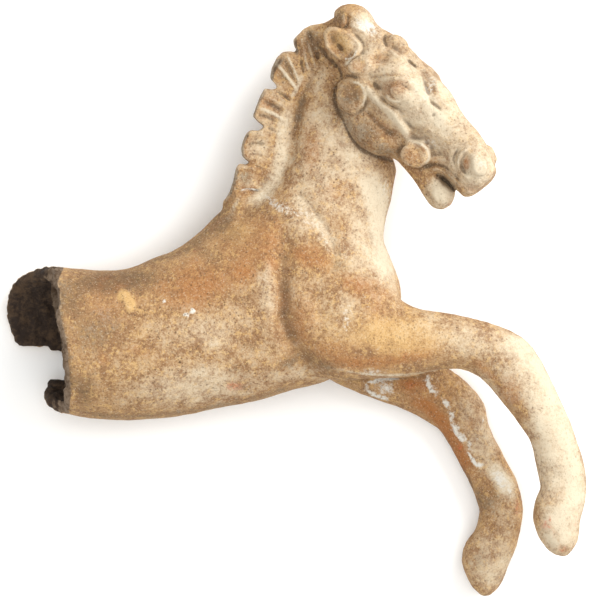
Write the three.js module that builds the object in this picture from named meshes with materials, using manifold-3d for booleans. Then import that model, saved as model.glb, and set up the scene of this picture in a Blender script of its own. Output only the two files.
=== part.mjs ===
// Forepart of a leaping horse in terracotta: a hollow barrel broken open behind, a cropped mane in five locks,
// a turned head with a studded bridle, and two bent forelegs. It lies on its left side.
// The clay is one field of signed distances, negative inside, that blends each form into the next. The field is
// cut into triangles on a grid of tetrahedra, thinned where the surface is plain, and trimmed flat where it rests.
// Millimetres. +X runs from the broken rear to the hooves, +Y from belly to poll, +Z up from the resting surface.
import * as THREE from "three";
import { mergeVertices } from "three/addons/utils/BufferGeometryUtils.js";
import Module from "manifold-3d";

// Driving dimensions
const FIGURE_LENGTH = 249; // from the rear break to the outer fetlock
const WALL = 6; // clay round the hollow
const HOLLOW_TOP = 190; // height, measured like the stations below, to which the neck is hollow
const LEG_SPREAD = 17; // each foreleg from the middle plane
const HEAD_DROP = 46; // degrees that the face points below the line of the back
const HEAD_OUT = 12; // degrees that the nose comes towards the upper side
const HEAD_ROLL = 30; // degrees that the forehead turns towards the upper side
const CHEEK_DISC = 7.7; // radius of the disc behind the jaw
const BIT_DISC = 6.2; // radius of the disc at the mouth
const BROW_STUD = 4.8; // radius of the stud on the browband
const DISC_HEIGHT = 2.6; // how far a disc stands out of the cheek
const LOCK_THICKNESS = 8; // one lock of the mane, across
const REST_HEIGHT = -26; // the surface that it lies on, below the middle plane

// Fineness of the mesh
const CELL = 1.7;
const TRIANGLES = 9400;

// The stations below are drawn for a figure of this length, and grow with the real one.
const DRAWN_LENGTH = 249;
const GROWTH = FIGURE_LENGTH / DRAWN_LENGTH;

const CLAY = new THREE.MeshStandardMaterial({ color: 0xcdab7e, roughness: 0.9, metalness: 0 });

// Spines of the long forms: x, y, z, half height, half width
const BARREL = [
  [-8.5, 112.5, 0, 31.5, 26],
  [26, 112.2, 0, 31.6, 26.5],
  [45, 110, 0, 32.2, 26.5],
  [64.5, 111, 0, 33, 26.5],
  [86, 117.5, 0, 35.5, 26.5],
  [107.5, 124, 0, 38, 26],
  [129, 129, 0, 36, 26],
  [141, 131.5, 0, 27.5, 23],
];
const NECK = [
  [122.5, 135.5, 0, 34, 25],
  [132, 152.5, 0, 30, 22],
  [140, 167, -0.5, 26, 19],
  [144.3, 180.5, -1.5, 24.8, 16],
  [145.5, 193.5, -2.5, 22.5, 13],
  [145.5, 207.5, -3, 19, 11],
  [146, 220, -2, 15.5, 10.5],
  [149, 231.5, 0, 11, 10.5],
];
const WITHERS = [
  [64.5, 127.5, 0, 16, 11],
  [80, 135.5, 0, 14.5, 10.5],
  [93, 147, 0, 13, 9.5],
  [103.5, 161, 0, 10, 8],
];
const NEAR_LEG = [
  [151.5, 116, LEG_SPREAD - 3.5, 20.5, 13],
  [172, 112, LEG_SPREAD - 1, 16, 11.5],
  [188, 112, LEG_SPREAD, 12.5, 10.5],
  [200, 111, LEG_SPREAD, 10.8, 10],
  [209.5, 107.5, LEG_SPREAD, 11.6, 10],
  [218.5, 101, LEG_SPREAD, 12.6, 10],
  [229.4, 84.5, LEG_SPREAD, 10.8, 9],
  [236.7, 71, LEG_SPREAD, 9.5, 8.5],
  [240.3, 58, LEG_SPREAD, 10.2, 8.5],
  [241.5, 47.5, LEG_SPREAD, 9.9, 8.5],
  [238.7, 37, LEG_SPREAD, 10.4, 9.5],
  [240.2, 28, LEG_SPREAD, 8, 7.5],
  [241.5, 23, LEG_SPREAD, 4, 4],
];
const FAR_LEG = [
  [148.5, 112.5, 3.5 - LEG_SPREAD, 19.5, 12],
  [165.5, 100.5, 1 - LEG_SPREAD, 15, 11],
  [183, 91, -LEG_SPREAD, 13, 10],
  [195.5, 83, -LEG_SPREAD, 12, 9.5],
  [201.5, 71, -LEG_SPREAD, 9.6, 9],
  [208.3, 58, -LEG_SPREAD, 9.2, 8.5],
  [213.2, 47.5, -LEG_SPREAD, 9.6, 8.5],
  [215.4, 38, -LEG_SPREAD, 9.4, 8.5],
  [213.5, 29, -LEG_SPREAD, 9.8, 9],
  [209, 19.5, -LEG_SPREAD, 10.6, 9.5],
  [208.5, 11.5, -LEG_SPREAD, 8.3, 7.5],
  [208.5, 5.5, -LEG_SPREAD, 4.2, 4],
];
const CREST = [
  [147, 244, 3, 7, 6],
  [138.5, 242, 1, 7, 5.5],
  [131.5, 232, -1, 6.5, 5],
  [125, 218, -2, 6.5, 5],
  [118, 204, -2, 7, 5],
  [114.5, 187.5, -1.5, 8, 5.5],
  [104.5, 172, 0, 9, 6],
];

// The crease behind the shoulder, in plan
const SHOULDER_CREASE = [
  [121.5, 155],
  [118.5, 137.5],
  [118, 120.5],
  [124, 109],
  [134, 100],
];

// Locks of the mane: the root, the tip and the width of each, from the poll down
const LOCKS = [
  [136, 232.5, 127.3, 243.8, 14.5],
  [133, 221.1, 117.9, 232, 14.8],
  [126.4, 207, 109.6, 214.7, 13.5],
  [121.1, 191.8, 103.2, 195.7, 12.5],
  [116.4, 174.7, 98.8, 180.1, 15],
];

// The head is drawn in its own frame from the poll: u along the face, v out of the forehead, w to its right side.
const HEAD_AT = new THREE.Vector3(155.5, 246, 12.5);
const FACE = [
  [30, -6, 0, 14, 13],
  [44, -4.2, 0, 12, 11],
  [54, -4.8, 0, 10, 9],
  [66, -5, 0, 9.4, 7.5],
  [75, -9.2, 0, 11.8, 8],
  [82, -11.2, 0, 10.8, 7.5],
];
const CHEEKS = [
  [24, -15, 0, 11, 11],
  [40, -16.5, 0, 9.5, 9.5],
  [52, -17, 0, 8.5, 8],
  [63, -17.5, 0, 6.5, 6.5],
];
const JAW = [
  [36, -25.5, 0, 8, 8],
  [52, -25.9, 0, 6.5, 6.5],
  [60, -26.3, 0, 6.4, 6],
  [67, -28.3, 0, 6.4, 6],
  [73, -29.5, 0, 6.6, 6],
];
const CHEEKBONE = [
  [18, -11, 12.2, 2.4, 2.4],
  [28, -12.7, 11.8, 2.4, 2.4],
  [40, -13, 10.2, 2.2, 2.2],
  [47.5, -18.5, 8.2, 2, 2],
];

// Blends two forms into one, with a fillet about as wide as k.
function join(a, b, k) {
  const h = Math.max(k - Math.abs(a - b), 0) / k;
  return Math.min(a, b) - (h * h * k) / 4;
}

// Takes form b out of form a.
function carve(a, b, k) {
  return -join(-a, b, k);
}

function distanceToEllipse(first, second, third, radii) {
  const [ru, rv, rw] = radii;
  const near = Math.hypot(first / ru, second / rv, third / rw);
  const steep = Math.hypot(first / (ru * ru), second / (rv * rv), third / (rw * rw));
  return steep > 0 ? (near * (near - 1)) / steep : -Math.min(ru, rv, rw);
}

// A swelling or an eye: an ellipsoid in the axes of the form that it sits on.
function mound(x, y, z, ...radii) {
  return (px, py, pz) => distanceToEllipse(px - x, py - y, pz - z, radii);
}

// A form with an elliptical section that follows a smooth spine. Its width lies along the third axis.
function limb(stations, steps = 4) {
  const spine = new THREE.CatmullRomCurve3(stations.map(([x, y, z]) => new THREE.Vector3(x, y, z)), false, "catmullrom");
  const section = new THREE.CatmullRomCurve3(stations.map((s) => new THREE.Vector3(s[3], s[4], 0)), false, "catmullrom");
  const count = (stations.length - 1) * steps;
  const at = Array.from({ length: count + 1 }, (_, i) => spine.getPoint(i / count));
  const size = Array.from({ length: count + 1 }, (_, i) => section.getPoint(i / count));
  const middle = new THREE.Box3().setFromPoints(at).getBoundingSphere(new THREE.Sphere());
  const reach = middle.radius + Math.max(...stations.map((s) => Math.max(s[3], s[4])));
  return (x, y, z) => {
    const away = Math.hypot(x - middle.center.x, y - middle.center.y, z - middle.center.z) - reach;
    if (away > FAR) return away;
    let least = Infinity;
    for (let i = 0; i < count; i++) {
      const a = at[i];
      const b = at[i + 1];
      const dx = b.x - a.x;
      const dy = b.y - a.y;
      const dz = b.z - a.z;
      const along = ((x - a.x) * dx + (y - a.y) * dy + (z - a.z) * dz) / (dx * dx + dy * dy + dz * dz);
      const t = Math.min(Math.max(along, 0), 1);
      const qx = x - a.x - t * dx;
      const qy = y - a.y - t * dy;
      const qz = z - a.z - t * dz;
      const high = size[i].x + t * (size[i + 1].x - size[i].x);
      const wide = size[i].y + t * (size[i + 1].y - size[i].y);
      const flat = Math.hypot(qx, qy);
      const near = Math.hypot(flat / high, qz / wide);
      const steep = Math.hypot(flat / (high * high), qz / (wide * wide));
      const d = steep > 0 ? (near * (near - 1)) / steep : -Math.min(high, wide);
      if (d < least) least = d;
    }
    return least;
  };
}
const FAR = 14; // beyond this distance a form no longer matters to its neighbours

// A flat round disc with a rounded edge that faces along w and leans by the given slopes.
function disc(u, v, w, radius, height, leanU = 0, leanV = 0, round = 0.9) {
  return (pu, pv, pw) => {
    const out = pw - w - leanU * (pu - u) - leanV * (pv - v);
    const side = Math.hypot(pu - u, pv - v) - (radius - round);
    const face = Math.abs(out) - (height - round);
    return Math.min(Math.max(side, face), 0) + Math.hypot(Math.max(side, 0), Math.max(face, 0)) - round;
  };
}

// A lock of the mane: a slab with rounded corners that stands out of the crest.
function lock([rootX, rootY, tipX, tipY, width]) {
  const length = Math.hypot(tipX - rootX, tipY - rootY);
  const ax = (tipX - rootX) / length;
  const ay = (tipY - rootY) / length;
  const round = 2.2;
  return (x, y, z) => {
    const dx = x - rootX;
    const dy = y - rootY;
    const away = Math.hypot(dx, dy, z) - length - width;
    if (away > FAR) return away;
    const out = dx * ax + dy * ay;
    const across = dy * ax - dx * ay;
    const thick = LOCK_THICKNESS / 2 - 0.08 * out;
    const a = Math.abs(out - length / 2) - (length / 2 - round);
    const b = Math.abs(across) - (width / 2 - round);
    const c = Math.abs(z + 1.5) - (thick - round);
    return Math.hypot(Math.max(a, 0), Math.max(b, 0), Math.max(c, 0)) + Math.min(Math.max(a, b, c), 0) - round;
  };
}

// How deep a groove is at a point. It follows a run of points in plan, on both flanks but not along the middle.
function groove(points, width, depth) {
  const p = new THREE.Vector3();
  const nearest = new THREE.Vector3();
  const corners = points.map(([x, y]) => new THREE.Vector3(x, y, 0));
  const box = new THREE.Box3().setFromPoints(corners).expandByScalar(3 * width);
  const runs = corners.slice(1).map((end, i) => new THREE.Line3(corners[i], end));
  return (x, y, z) => {
    p.set(x, y, 0);
    if (!box.containsPoint(p)) return 0;
    const least = Math.min(...runs.map((run) => run.closestPointToPoint(p, true, nearest).distanceTo(p)));
    return depth * Math.exp(-((least / width) ** 2)) * THREE.MathUtils.smoothstep(Math.abs(z), 6, 16);
  };
}

// The head, in its own frame. Both sides are alike.
function makeHead() {
  const cranium = mound(17, -8.2, 0, 22, 16.2, 14);
  const face = limb(FACE);
  const cheeks = limb(CHEEKS);
  const jaw = limb(JAW);
  const jowl = mound(30, -24.5, 6.5, 17.5, 13.5, 6.8);
  const brow = mound(32, -1.5, 10.5, 10.5, 6.8, 5);
  const eye = mound(33, -5, 13.2, 5, 3.6, 2.8);
  const cheekbone = limb(CHEEKBONE);
  const nostril = mound(77, -4, 6.5, 6, 5.2, 4.2);
  const nostrilHole = mound(78.5, -4.2, 11.2, 2.4, 2, 2);
  const ear = mound(-0.5, -6.5, 12, 9, 6.3, 4);
  const earHollow = mound(-1.5, -6.5, 16, 6.2, 4, 3.4);
  const forelock = mound(-3.5, -0.5, 0, 10.5, 7.8, 8);
  const cheekDisc = disc(18, -20, 13, CHEEK_DISC, DISC_HEIGHT, 0.1);
  const bitDisc = disc(55.5, -19.5, 8.2, BIT_DISC, DISC_HEIGHT, 0.1);
  const browStud = disc(14, -5.5, 13.2, BROW_STUD, DISC_HEIGHT);
  return (u, v, w) => {
    const away = Math.hypot(u - 38, v + 13, w) - 58;
    if (away > FAR) return away;
    const side = Math.abs(w);
    let d = join(cranium(u, v, w), face(u, v, w), 5);
    d = carve(d, 87.5 - u + 0.15 * v, 4);
    d = join(d, cheeks(u, v, w), 4);
    d = join(d, join(jaw(u, v, w), jowl(u, v, side), 5), 3);
    d = join(d, brow(u, v, side), 2.5);
    d = join(d, eye(u, v, side), 1);
    d = join(d, cheekbone(u, v, side), 2.5);
    d = join(d, nostril(u, v, side), 2);
    d = carve(d, nostrilHole(u, v, side), 1);
    d = join(d, forelock(u, v, w), 4);
    d = join(d, carve(ear(u, v, side), earHollow(u, v, side), 1), 1.5);
    d = join(d, cheekDisc(u, v, side), 0.8);
    d = join(d, bitDisc(u, v, side), 0.8);
    d = join(d, browStud(u, v, side), 0.8);
    return d;
  };
}

// The axes u, v and w of the head, in the frame of the figure.
function headAxes() {
  const turn = new THREE.Matrix4().makeRotationZ(THREE.MathUtils.degToRad(-HEAD_DROP));
  turn.multiply(new THREE.Matrix4().makeRotationY(THREE.MathUtils.degToRad(-HEAD_OUT)));
  turn.multiply(new THREE.Matrix4().makeRotationX(THREE.MathUtils.degToRad(HEAD_ROLL)));
  const axes = [new THREE.Vector3(), new THREE.Vector3(), new THREE.Vector3()];
  turn.extractBasis(...axes);
  return axes;
}

// Where the clay ends behind: the near wall is broken short, and the far wall runs on, with a notch in it.
function breakAt(y, z) {
  const near = 24.5 + 0.09 * (125 - y) + 0.8 * Math.sin(0.35 * y) + 0.4 * Math.sin(1.1 * y);
  const upper = 2.2 + (y > 125 ? 0.035 : 0.022) * (y - 125) ** 2;
  const tab = 19.5 + 0.05 * (y - 88) ** 2;
  const far = Math.min(y > 107.5 ? upper : y > 95 ? 30 : tab, 30);
  const share = THREE.MathUtils.smoothstep(z, -12, 6);
  return far + (near - far) * share + 0.4 * Math.sin(1.3 * z + 0.7 * y);
}

// The whole figure as one field of distances.
function makeFigure() {
  const barrel = limb(BARREL);
  const neck = limb(NECK);
  const withers = limb(WITHERS);
  const chest = mound(149, 131, 0, 22.7, 25, 22);
  const nearShoulder = mound(144, 127, 13.5, 25, 31, 15);
  const farShoulder = mound(145, 139, -12.5, 22, 32, 14.8);
  const nearLeg = limb(NEAR_LEG);
  const farLeg = limb(FAR_LEG);
  const crest = limb(CREST);
  const locks = LOCKS.map(lock);
  const head = makeHead();
  const [along, out, right] = headAxes();
  const crease = groove(SHOULDER_CREASE, 4.5, 1.8);
  return (x, y, z) => {
    let d = join(barrel(x, y, z), neck(x, y, z), 10);
    d = join(d, chest(x, y, z), 5);
    d = join(d, withers(x, y, z), 5);
    const hollow = carve(d * GROWTH + WALL, HOLLOW_TOP - y, 6) / GROWTH;
    d = join(d, join(nearShoulder(x, y, z), farShoulder(x, y, z), 1), 5);
    d = join(d, nearLeg(x, y, z), 6);
    d = join(d, farLeg(x, y, z), 6);
    d += crease(x, y, z);
    d = join(d, crest(x, y, z), 3);
    for (const one of locks) d = join(d, one(x, y, z), 0.8);
    const hx = x - HEAD_AT.x;
    const hy = y - HEAD_AT.y;
    const hz = z - HEAD_AT.z;
    const skull = head(
      hx * along.x + hy * along.y + hz * along.z,
      hx * out.x + hy * out.y + hz * out.z,
      hx * right.x + hy * right.y + hz * right.z,
    );
    d = join(d, skull, 2.5);
    d = carve(d, hollow, 1);
    return carve(d, x - breakAt(y, z), 1);
  };
}

// Cuts the zero surface of a field into triangles. Each cell of the grid is six tetrahedra round its long diagonal,
// which always gives a closed surface. Blocks of cells far from the surface are passed over.
function polygonise(field, box, cell) {
  const counts = box.getSize(new THREE.Vector3()).divideScalar(cell).ceil();
  const [nx, ny, nz] = [counts.x + 1, counts.y + 1, counts.z + 1];
  const offset = [1, nx, nx * ny];
  const values = new Float32Array(nx * ny * nz);
  const block = 4;
  const skip = 4.5 * cell;
  for (let k0 = 0; k0 < nz; k0 += block) {
    for (let j0 = 0; j0 < ny; j0 += block) {
      for (let i0 = 0; i0 < nx; i0 += block) {
        const half = (block - 1) / 2;
        const centre = fieldAt(i0 + half, j0 + half, k0 + half);
        for (let k = k0; k < Math.min(k0 + block, nz); k++) {
          for (let j = j0; j < Math.min(j0 + block, ny); j++) {
            for (let i = i0; i < Math.min(i0 + block, nx); i++) {
              const value = Math.abs(centre) > skip ? centre : fieldAt(i, j, k);
              values[i + j * offset[1] + k * offset[2]] = value === 0 ? 1e-6 : value;
            }
          }
        }
      }
    }
  }

  function fieldAt(i, j, k) {
    return field(box.min.x + i * cell, box.min.y + j * cell, box.min.z + k * cell);
  }

  const points = [];
  const faces = [];
  const onEdge = new Map();
  const paths = [
    [0, 1, 2],
    [0, 2, 1],
    [1, 0, 2],
    [1, 2, 0],
    [2, 0, 1],
    [2, 1, 0],
  ];
  const corner = (index) => [index % nx, Math.floor(index / nx) % ny, Math.floor(index / offset[2])];

  function crossing(a, b) {
    const [low, high] = a < b ? [a, b] : [b, a];
    const key = low * values.length + high;
    if (!onEdge.has(key)) {
      const share = THREE.MathUtils.clamp(values[low] / (values[low] - values[high]), 0.06, 0.94);
      const from = corner(low);
      const to = corner(high);
      onEdge.set(key, points.length);
      points.push(from.map((n, axis) => box.min.getComponent(axis) + cell * (n + share * (to[axis] - n))));
    }
    return onEdge.get(key);
  }

  function addFace(a, b, c, inside, outside) {
    const [p, q, r] = [points[a], points[b], points[c]].map((xyz) => new THREE.Vector3(...xyz));
    const normal = new THREE.Vector3().crossVectors(q.sub(p), r.sub(p));
    const outward = new THREE.Vector3(...corner(outside)).sub(new THREE.Vector3(...corner(inside)));
    faces.push(normal.dot(outward) > 0 ? [a, b, c] : [a, c, b]);
  }

  for (let k = 0; k < nz - 1; k++) {
    for (let j = 0; j < ny - 1; j++) {
      for (let i = 0; i < nx - 1; i++) {
        const base = i + j * offset[1] + k * offset[2];
        let below = 0;
        for (let n = 0; n < 8; n++) {
          if (values[base + (n & 1) + ((n >> 1) & 1) * offset[1] + (n >> 2) * offset[2]] < 0) below++;
        }
        if (below === 0 || below === 8) continue;
        for (const path of paths) {
          const tetra = [base];
          for (const axis of path) tetra.push(tetra[tetra.length - 1] + offset[axis]);
          const inside = tetra.filter((n) => values[n] < 0);
          const outside = tetra.filter((n) => values[n] >= 0);
          if (inside.length === 1 || outside.length === 1) {
            const [lone, others] = inside.length === 1 ? [inside[0], outside] : [outside[0], inside];
            addFace(...others.map((n) => crossing(lone, n)), inside[0], outside[0]);
          } else if (inside.length === 2) {
            const [a, b] = inside;
            const [c, e] = outside;
            const ring = [crossing(a, c), crossing(a, e), crossing(b, e), crossing(b, c)];
            addFace(ring[0], ring[1], ring[2], a, c);
            addFace(ring[0], ring[2], ring[3], a, c);
          }
        }
      }
    }
  }
  return { points, faces };
}

// The sum of squared distances from a point to the planes gathered in a quadric.
function misfit(q, x, y, z) {
  return (
    q[0] * x * x + 2 * q[1] * x * y + 2 * q[2] * x * z + 2 * q[3] * x +
    q[4] * y * y + 2 * q[5] * y * z + 2 * q[6] * y +
    q[7] * z * z + 2 * q[8] * z + q[9]
  );
}

// A heap that gives back its cheapest entry first.
class Queue {
  items = [];

  push(item) {
    const { items } = this;
    let at = items.push(item) - 1;
    while (at > 0) {
      const parent = (at - 1) >> 1;
      if (items[parent].cost <= item.cost) break;
      items[at] = items[parent];
      at = parent;
    }
    items[at] = item;
  }

  pop() {
    const { items } = this;
    const top = items[0];
    const last = items.pop();
    if (!items.length) return top;
    let at = 0;
    for (;;) {
      let child = 2 * at + 1;
      if (child >= items.length) break;
      if (child + 1 < items.length && items[child + 1].cost < items[child].cost) child++;
      if (items[child].cost >= last.cost) break;
      items[at] = items[child];
      at = child;
    }
    items[at] = last;
    return top;
  }
}

// Thins a closed mesh to a number of faces by closing the edges whose loss shows least.
function thin({ points, faces }, wanted) {
  const quadrics = points.map(() => new Float64Array(10));
  const around = points.map(() => new Set());
  const turned = new Int32Array(points.length);
  const p = new THREE.Vector3();
  const q = new THREE.Vector3();
  const r = new THREE.Vector3();

  function normalOf(a, b, c) {
    p.fromArray(a);
    return q.fromArray(b).sub(p).cross(r.fromArray(c).sub(p));
  }

  faces.forEach((face, f) => {
    const normal = normalOf(...face.map((n) => points[n]));
    const area = normal.length();
    const { x, y, z } = normal.divideScalar(area || 1);
    const w = -(x * p.x + y * p.y + z * p.z);
    const planes = [x * x, x * y, x * z, x * w, y * y, y * z, y * w, z * z, z * w, w * w];
    for (const n of face) {
      around[n].add(f);
      planes.forEach((value, i) => (quadrics[n][i] += value * area));
    }
  });

  const neighbours = (n) => {
    const found = new Set();
    for (const f of around[n]) for (const m of faces[f]) if (m !== n) found.add(m);
    return found;
  };

  // The cheapest of the two ends, the middle and the point that fits all planes best.
  function priced(a, b) {
    const sum = quadrics[a].map((value, i) => value + quadrics[b][i]);
    const choices = [points[a], points[b], points[a].map((value, i) => (value + points[b][i]) / 2)];
    const matrix = new THREE.Matrix3().set(sum[0], sum[1], sum[2], sum[1], sum[4], sum[5], sum[2], sum[5], sum[7]);
    if (Math.abs(matrix.determinant()) > 1e-3 * (sum[0] + sum[4] + sum[7]) ** 3) {
      const best = new THREE.Vector3(-sum[3], -sum[6], -sum[8]).applyMatrix3(matrix.invert());
      choices.push(best.toArray());
    }
    let cost = Infinity;
    let target;
    for (const choice of choices) {
      const value = misfit(sum, ...choice);
      if (value < cost) [cost, target] = [value, choice];
    }
    const long = Math.hypot(...points[a].map((value, i) => value - points[b][i]));
    return { cost: cost + 1e-4 * long * long, a, b, target, stamp: turned[a] + turned[b] };
  }

  function staysSound(a, b, target) {
    const [near, far] = [neighbours(a), neighbours(b)];
    let shared = 0;
    for (const n of near) if (far.has(n)) shared++;
    if (shared !== 2) return false;
    for (const [from, other] of [[a, b], [b, a]]) {
      for (const f of around[from]) {
        if (faces[f].includes(other)) continue;
        const before = normalOf(...faces[f].map((n) => points[n])).clone();
        const after = normalOf(...faces[f].map((n) => (n === from ? target : points[n])));
        if (before.dot(after) < 0.35 * before.length() * after.length()) return false;
        if (after.length() < 1e-3) return false;
      }
    }
    return true;
  }

  const queue = new Queue();
  points.forEach((_, a) => {
    for (const b of neighbours(a)) if (a < b) queue.push(priced(a, b));
  });
  let left = faces.length;
  while (left > wanted && queue.items.length) {
    const { a, b, target, stamp } = queue.pop();
    if (!around[a].size || !around[b].size || stamp !== turned[a] + turned[b]) continue;
    if (!staysSound(a, b, target)) continue;
    for (const f of [...around[b]]) {
      if (faces[f].includes(a)) {
        for (const n of faces[f]) around[n].delete(f);
        faces[f] = null;
        left--;
      } else {
        faces[f] = faces[f].map((n) => (n === b ? a : n));
        around[a].add(f);
      }
    }
    around[b].clear();
    points[a] = target;
    quadrics[a] = quadrics[a].map((value, i) => value + quadrics[b][i]);
    turned[a]++;
    for (const n of neighbours(a)) queue.push(priced(a, n));
  }
  return { points, faces: faces.filter(Boolean) };
}

function geometryOf({ points, faces }) {
  const geometry = new THREE.BufferGeometry();
  geometry.setAttribute("position", new THREE.Float32BufferAttribute(points.flat(), 3));
  geometry.setIndex(faces.flat());
  return geometry;
}

const wasm = await Module();
wasm.setup();

// A closed geometry as a solid that can be joined and cut.
function solidOf(geometry) {
  const bare = geometry.clone();
  bare.deleteAttribute("normal");
  bare.deleteAttribute("uv");
  const merged = mergeVertices(bare, 1e-4);
  const mesh = new wasm.Mesh({
    numProp: 3,
    vertProperties: new Float32Array(merged.attributes.position.array),
    triVerts: new Uint32Array(merged.index.array),
  });
  return new wasm.Manifold(mesh);
}

function geometryFrom(solid) {
  const { vertProperties, triVerts } = solid.getMesh();
  const geometry = new THREE.BufferGeometry();
  geometry.setAttribute("position", new THREE.BufferAttribute(vertProperties, 3));
  geometry.setIndex(new THREE.BufferAttribute(triVerts, 1));
  return geometry;
}

// The figure, cut flat along the surface that it lies on, with its origin under the middle of its box.
function makeHorse() {
  const figure = makeFigure();
  const room = new THREE.Box3(new THREE.Vector3(-6, -6, -40), new THREE.Vector3(260, 264, 44));
  room.min.multiplyScalar(GROWTH);
  room.max.multiplyScalar(GROWTH);
  const grown = (x, y, z) => figure(x / GROWTH, y / GROWTH, z / GROWTH) * GROWTH;
  const clay = solidOf(geometryOf(thin(polygonise(grown, room, CELL * GROWTH), TRIANGLES)));
  const ground = new THREE.BoxGeometry(400 * GROWTH, 400 * GROWTH, 100 * GROWTH);
  ground.translate(130 * GROWTH, 130 * GROWTH, (REST_HEIGHT - 50) * GROWTH);
  const geometry = geometryFrom(clay.subtract(solidOf(ground)));
  geometry.computeBoundingBox();
  const { min, max } = geometry.boundingBox;
  geometry.translate(-(min.x + max.x) / 2, -(min.y + max.y) / 2, -min.z);
  geometry.computeVertexNormals();
  const horse = new THREE.Mesh(geometry, CLAY);
  horse.name = "horse_figure";
  return horse;
}

const group = new THREE.Group();
group.add(makeHorse());
export default group;
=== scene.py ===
# Terracotta horse figure: the carved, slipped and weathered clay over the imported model.
# Every object is in metres. Lines of the photograph are in its pixels and are laid over the floor by plan().
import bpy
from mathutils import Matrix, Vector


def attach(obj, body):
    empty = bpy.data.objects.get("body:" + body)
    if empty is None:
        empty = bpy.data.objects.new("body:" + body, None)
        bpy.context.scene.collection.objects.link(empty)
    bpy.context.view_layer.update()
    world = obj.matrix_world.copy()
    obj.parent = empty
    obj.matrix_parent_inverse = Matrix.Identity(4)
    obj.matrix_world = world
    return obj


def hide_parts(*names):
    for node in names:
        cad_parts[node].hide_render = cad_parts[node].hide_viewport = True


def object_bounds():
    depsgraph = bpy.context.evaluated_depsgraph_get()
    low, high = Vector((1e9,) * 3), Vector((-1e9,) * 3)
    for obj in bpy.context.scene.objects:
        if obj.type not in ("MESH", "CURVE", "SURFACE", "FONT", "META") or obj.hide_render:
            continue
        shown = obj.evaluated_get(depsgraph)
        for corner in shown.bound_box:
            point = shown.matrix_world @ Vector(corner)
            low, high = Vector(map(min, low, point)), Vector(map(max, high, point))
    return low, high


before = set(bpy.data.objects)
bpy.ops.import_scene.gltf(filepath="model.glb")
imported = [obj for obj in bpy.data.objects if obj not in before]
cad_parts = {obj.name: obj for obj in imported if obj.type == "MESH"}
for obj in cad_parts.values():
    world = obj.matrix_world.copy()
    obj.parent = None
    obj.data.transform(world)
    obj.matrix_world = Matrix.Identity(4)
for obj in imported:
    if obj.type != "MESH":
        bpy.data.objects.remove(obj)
CAD_BOX = [[float(value) for value in corner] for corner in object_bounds()]

import math

import bmesh
import bpy
import numpy as np
from mathutils import Euler, Matrix, Vector, noise

bl_info = {
    "name": "Terracotta horse figure",
    "version": (1, 0, 0),
    "blender": (4, 5, 0),
    "location": "3D View > Sidebar > Clay horse",
    "description": "Carves and colours the fired clay of a broken horse figure",
    "category": "Object",
}

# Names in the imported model
NODE = "horse_figure"
PIECE = "horse_clay"
BODY = "root"
MM = 0.001

# The photograph over the floor
PIXEL_MM = 0.43
PHOTO_CENTRE = (295.5, 300.0)
PHOTO_MIDDLE = (294.5, 300.0)
PHOTO_LONG_SIDE = 600
CAMERA_HEIGHT = 8.0
MIDDLE_HEIGHT = 0.028
SENSOR = 36.0

# The middle line of the hollow, in millimetres over the floor
HOLLOW_LINE = [(-130, -16), (-45, -16), (-12, -4), (6, 14), (17, 40), (20, 60)]
HOLLOW_LEVEL = 26.0
HOLLOW_REACH = 34.0
HOLLOW_END = (22.0, 34.0)
RIM_REACH = -92.0

# The mane's cut edge as the photograph shows it, from the poll to the withers, and the line where it is rooted
MANE_EDGE = [(330, 20), (321, 24), (311, 26), (304, 29.5), (298, 35), (293, 40), (294, 46), (299, 55),
             (291, 51), (283, 52), (277, 58), (272, 68), (270, 78.5), (276, 85), (284, 95),
             (278, 89), (271, 89.5), (265, 88), (261, 95), (257, 105), (253, 116), (258, 121.5), (266, 127),
             (258, 131), (251, 130), (246, 134), (243, 141), (241.5, 149), (243, 157), (253, 165),
             (246, 165), (239, 164), (236, 170), (233.5, 181), (230, 192), (225, 201)]
MANE_ROOT = [(240, 206), (258, 194), (274, 178), (282, 156), (285, 128), (293, 102), (305, 76), (318, 50), (330, 32)]
MANE_OUTSIDE = [(200, 200), (222, 150), (236, 100), (256, 50), (290, 14), (322, 6)]
MANE_BOTTOM = 20.5
MANE_TOP = 30.5

# Raised round forms of the head: middle and half sizes in pixels, turn in degrees, half thickness and lift in
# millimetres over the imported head
KNOBS = {
    "cheek_disc": ((350, 96.5), (14.5, 15.5), 0, 2.6, -1.0),
    "bit_disc": ((414.5, 155), (15, 13), 0, 2.4, -0.8),
    "browband_stud": ((358.5, 66.5), (11, 8), 14, 2.0, -0.6),
    "eyeball": ((401, 93), (13, 8.5), -28, 2.6, -1.0),
    "far_ear": ((398, 45), (13, 8.5), -38, 3.4, -0.4),
    "nostril_pad": ((479.5, 167.5), (8.5, 9.5), -20, 2.6, -1.3),
    "forelock_foot": ((364, 30), (16, 8), -35, 3.0, -1.6),
    "lower_lip": ((441, 194), (10, 12), 20, 3.0, -1.8),
}

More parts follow.
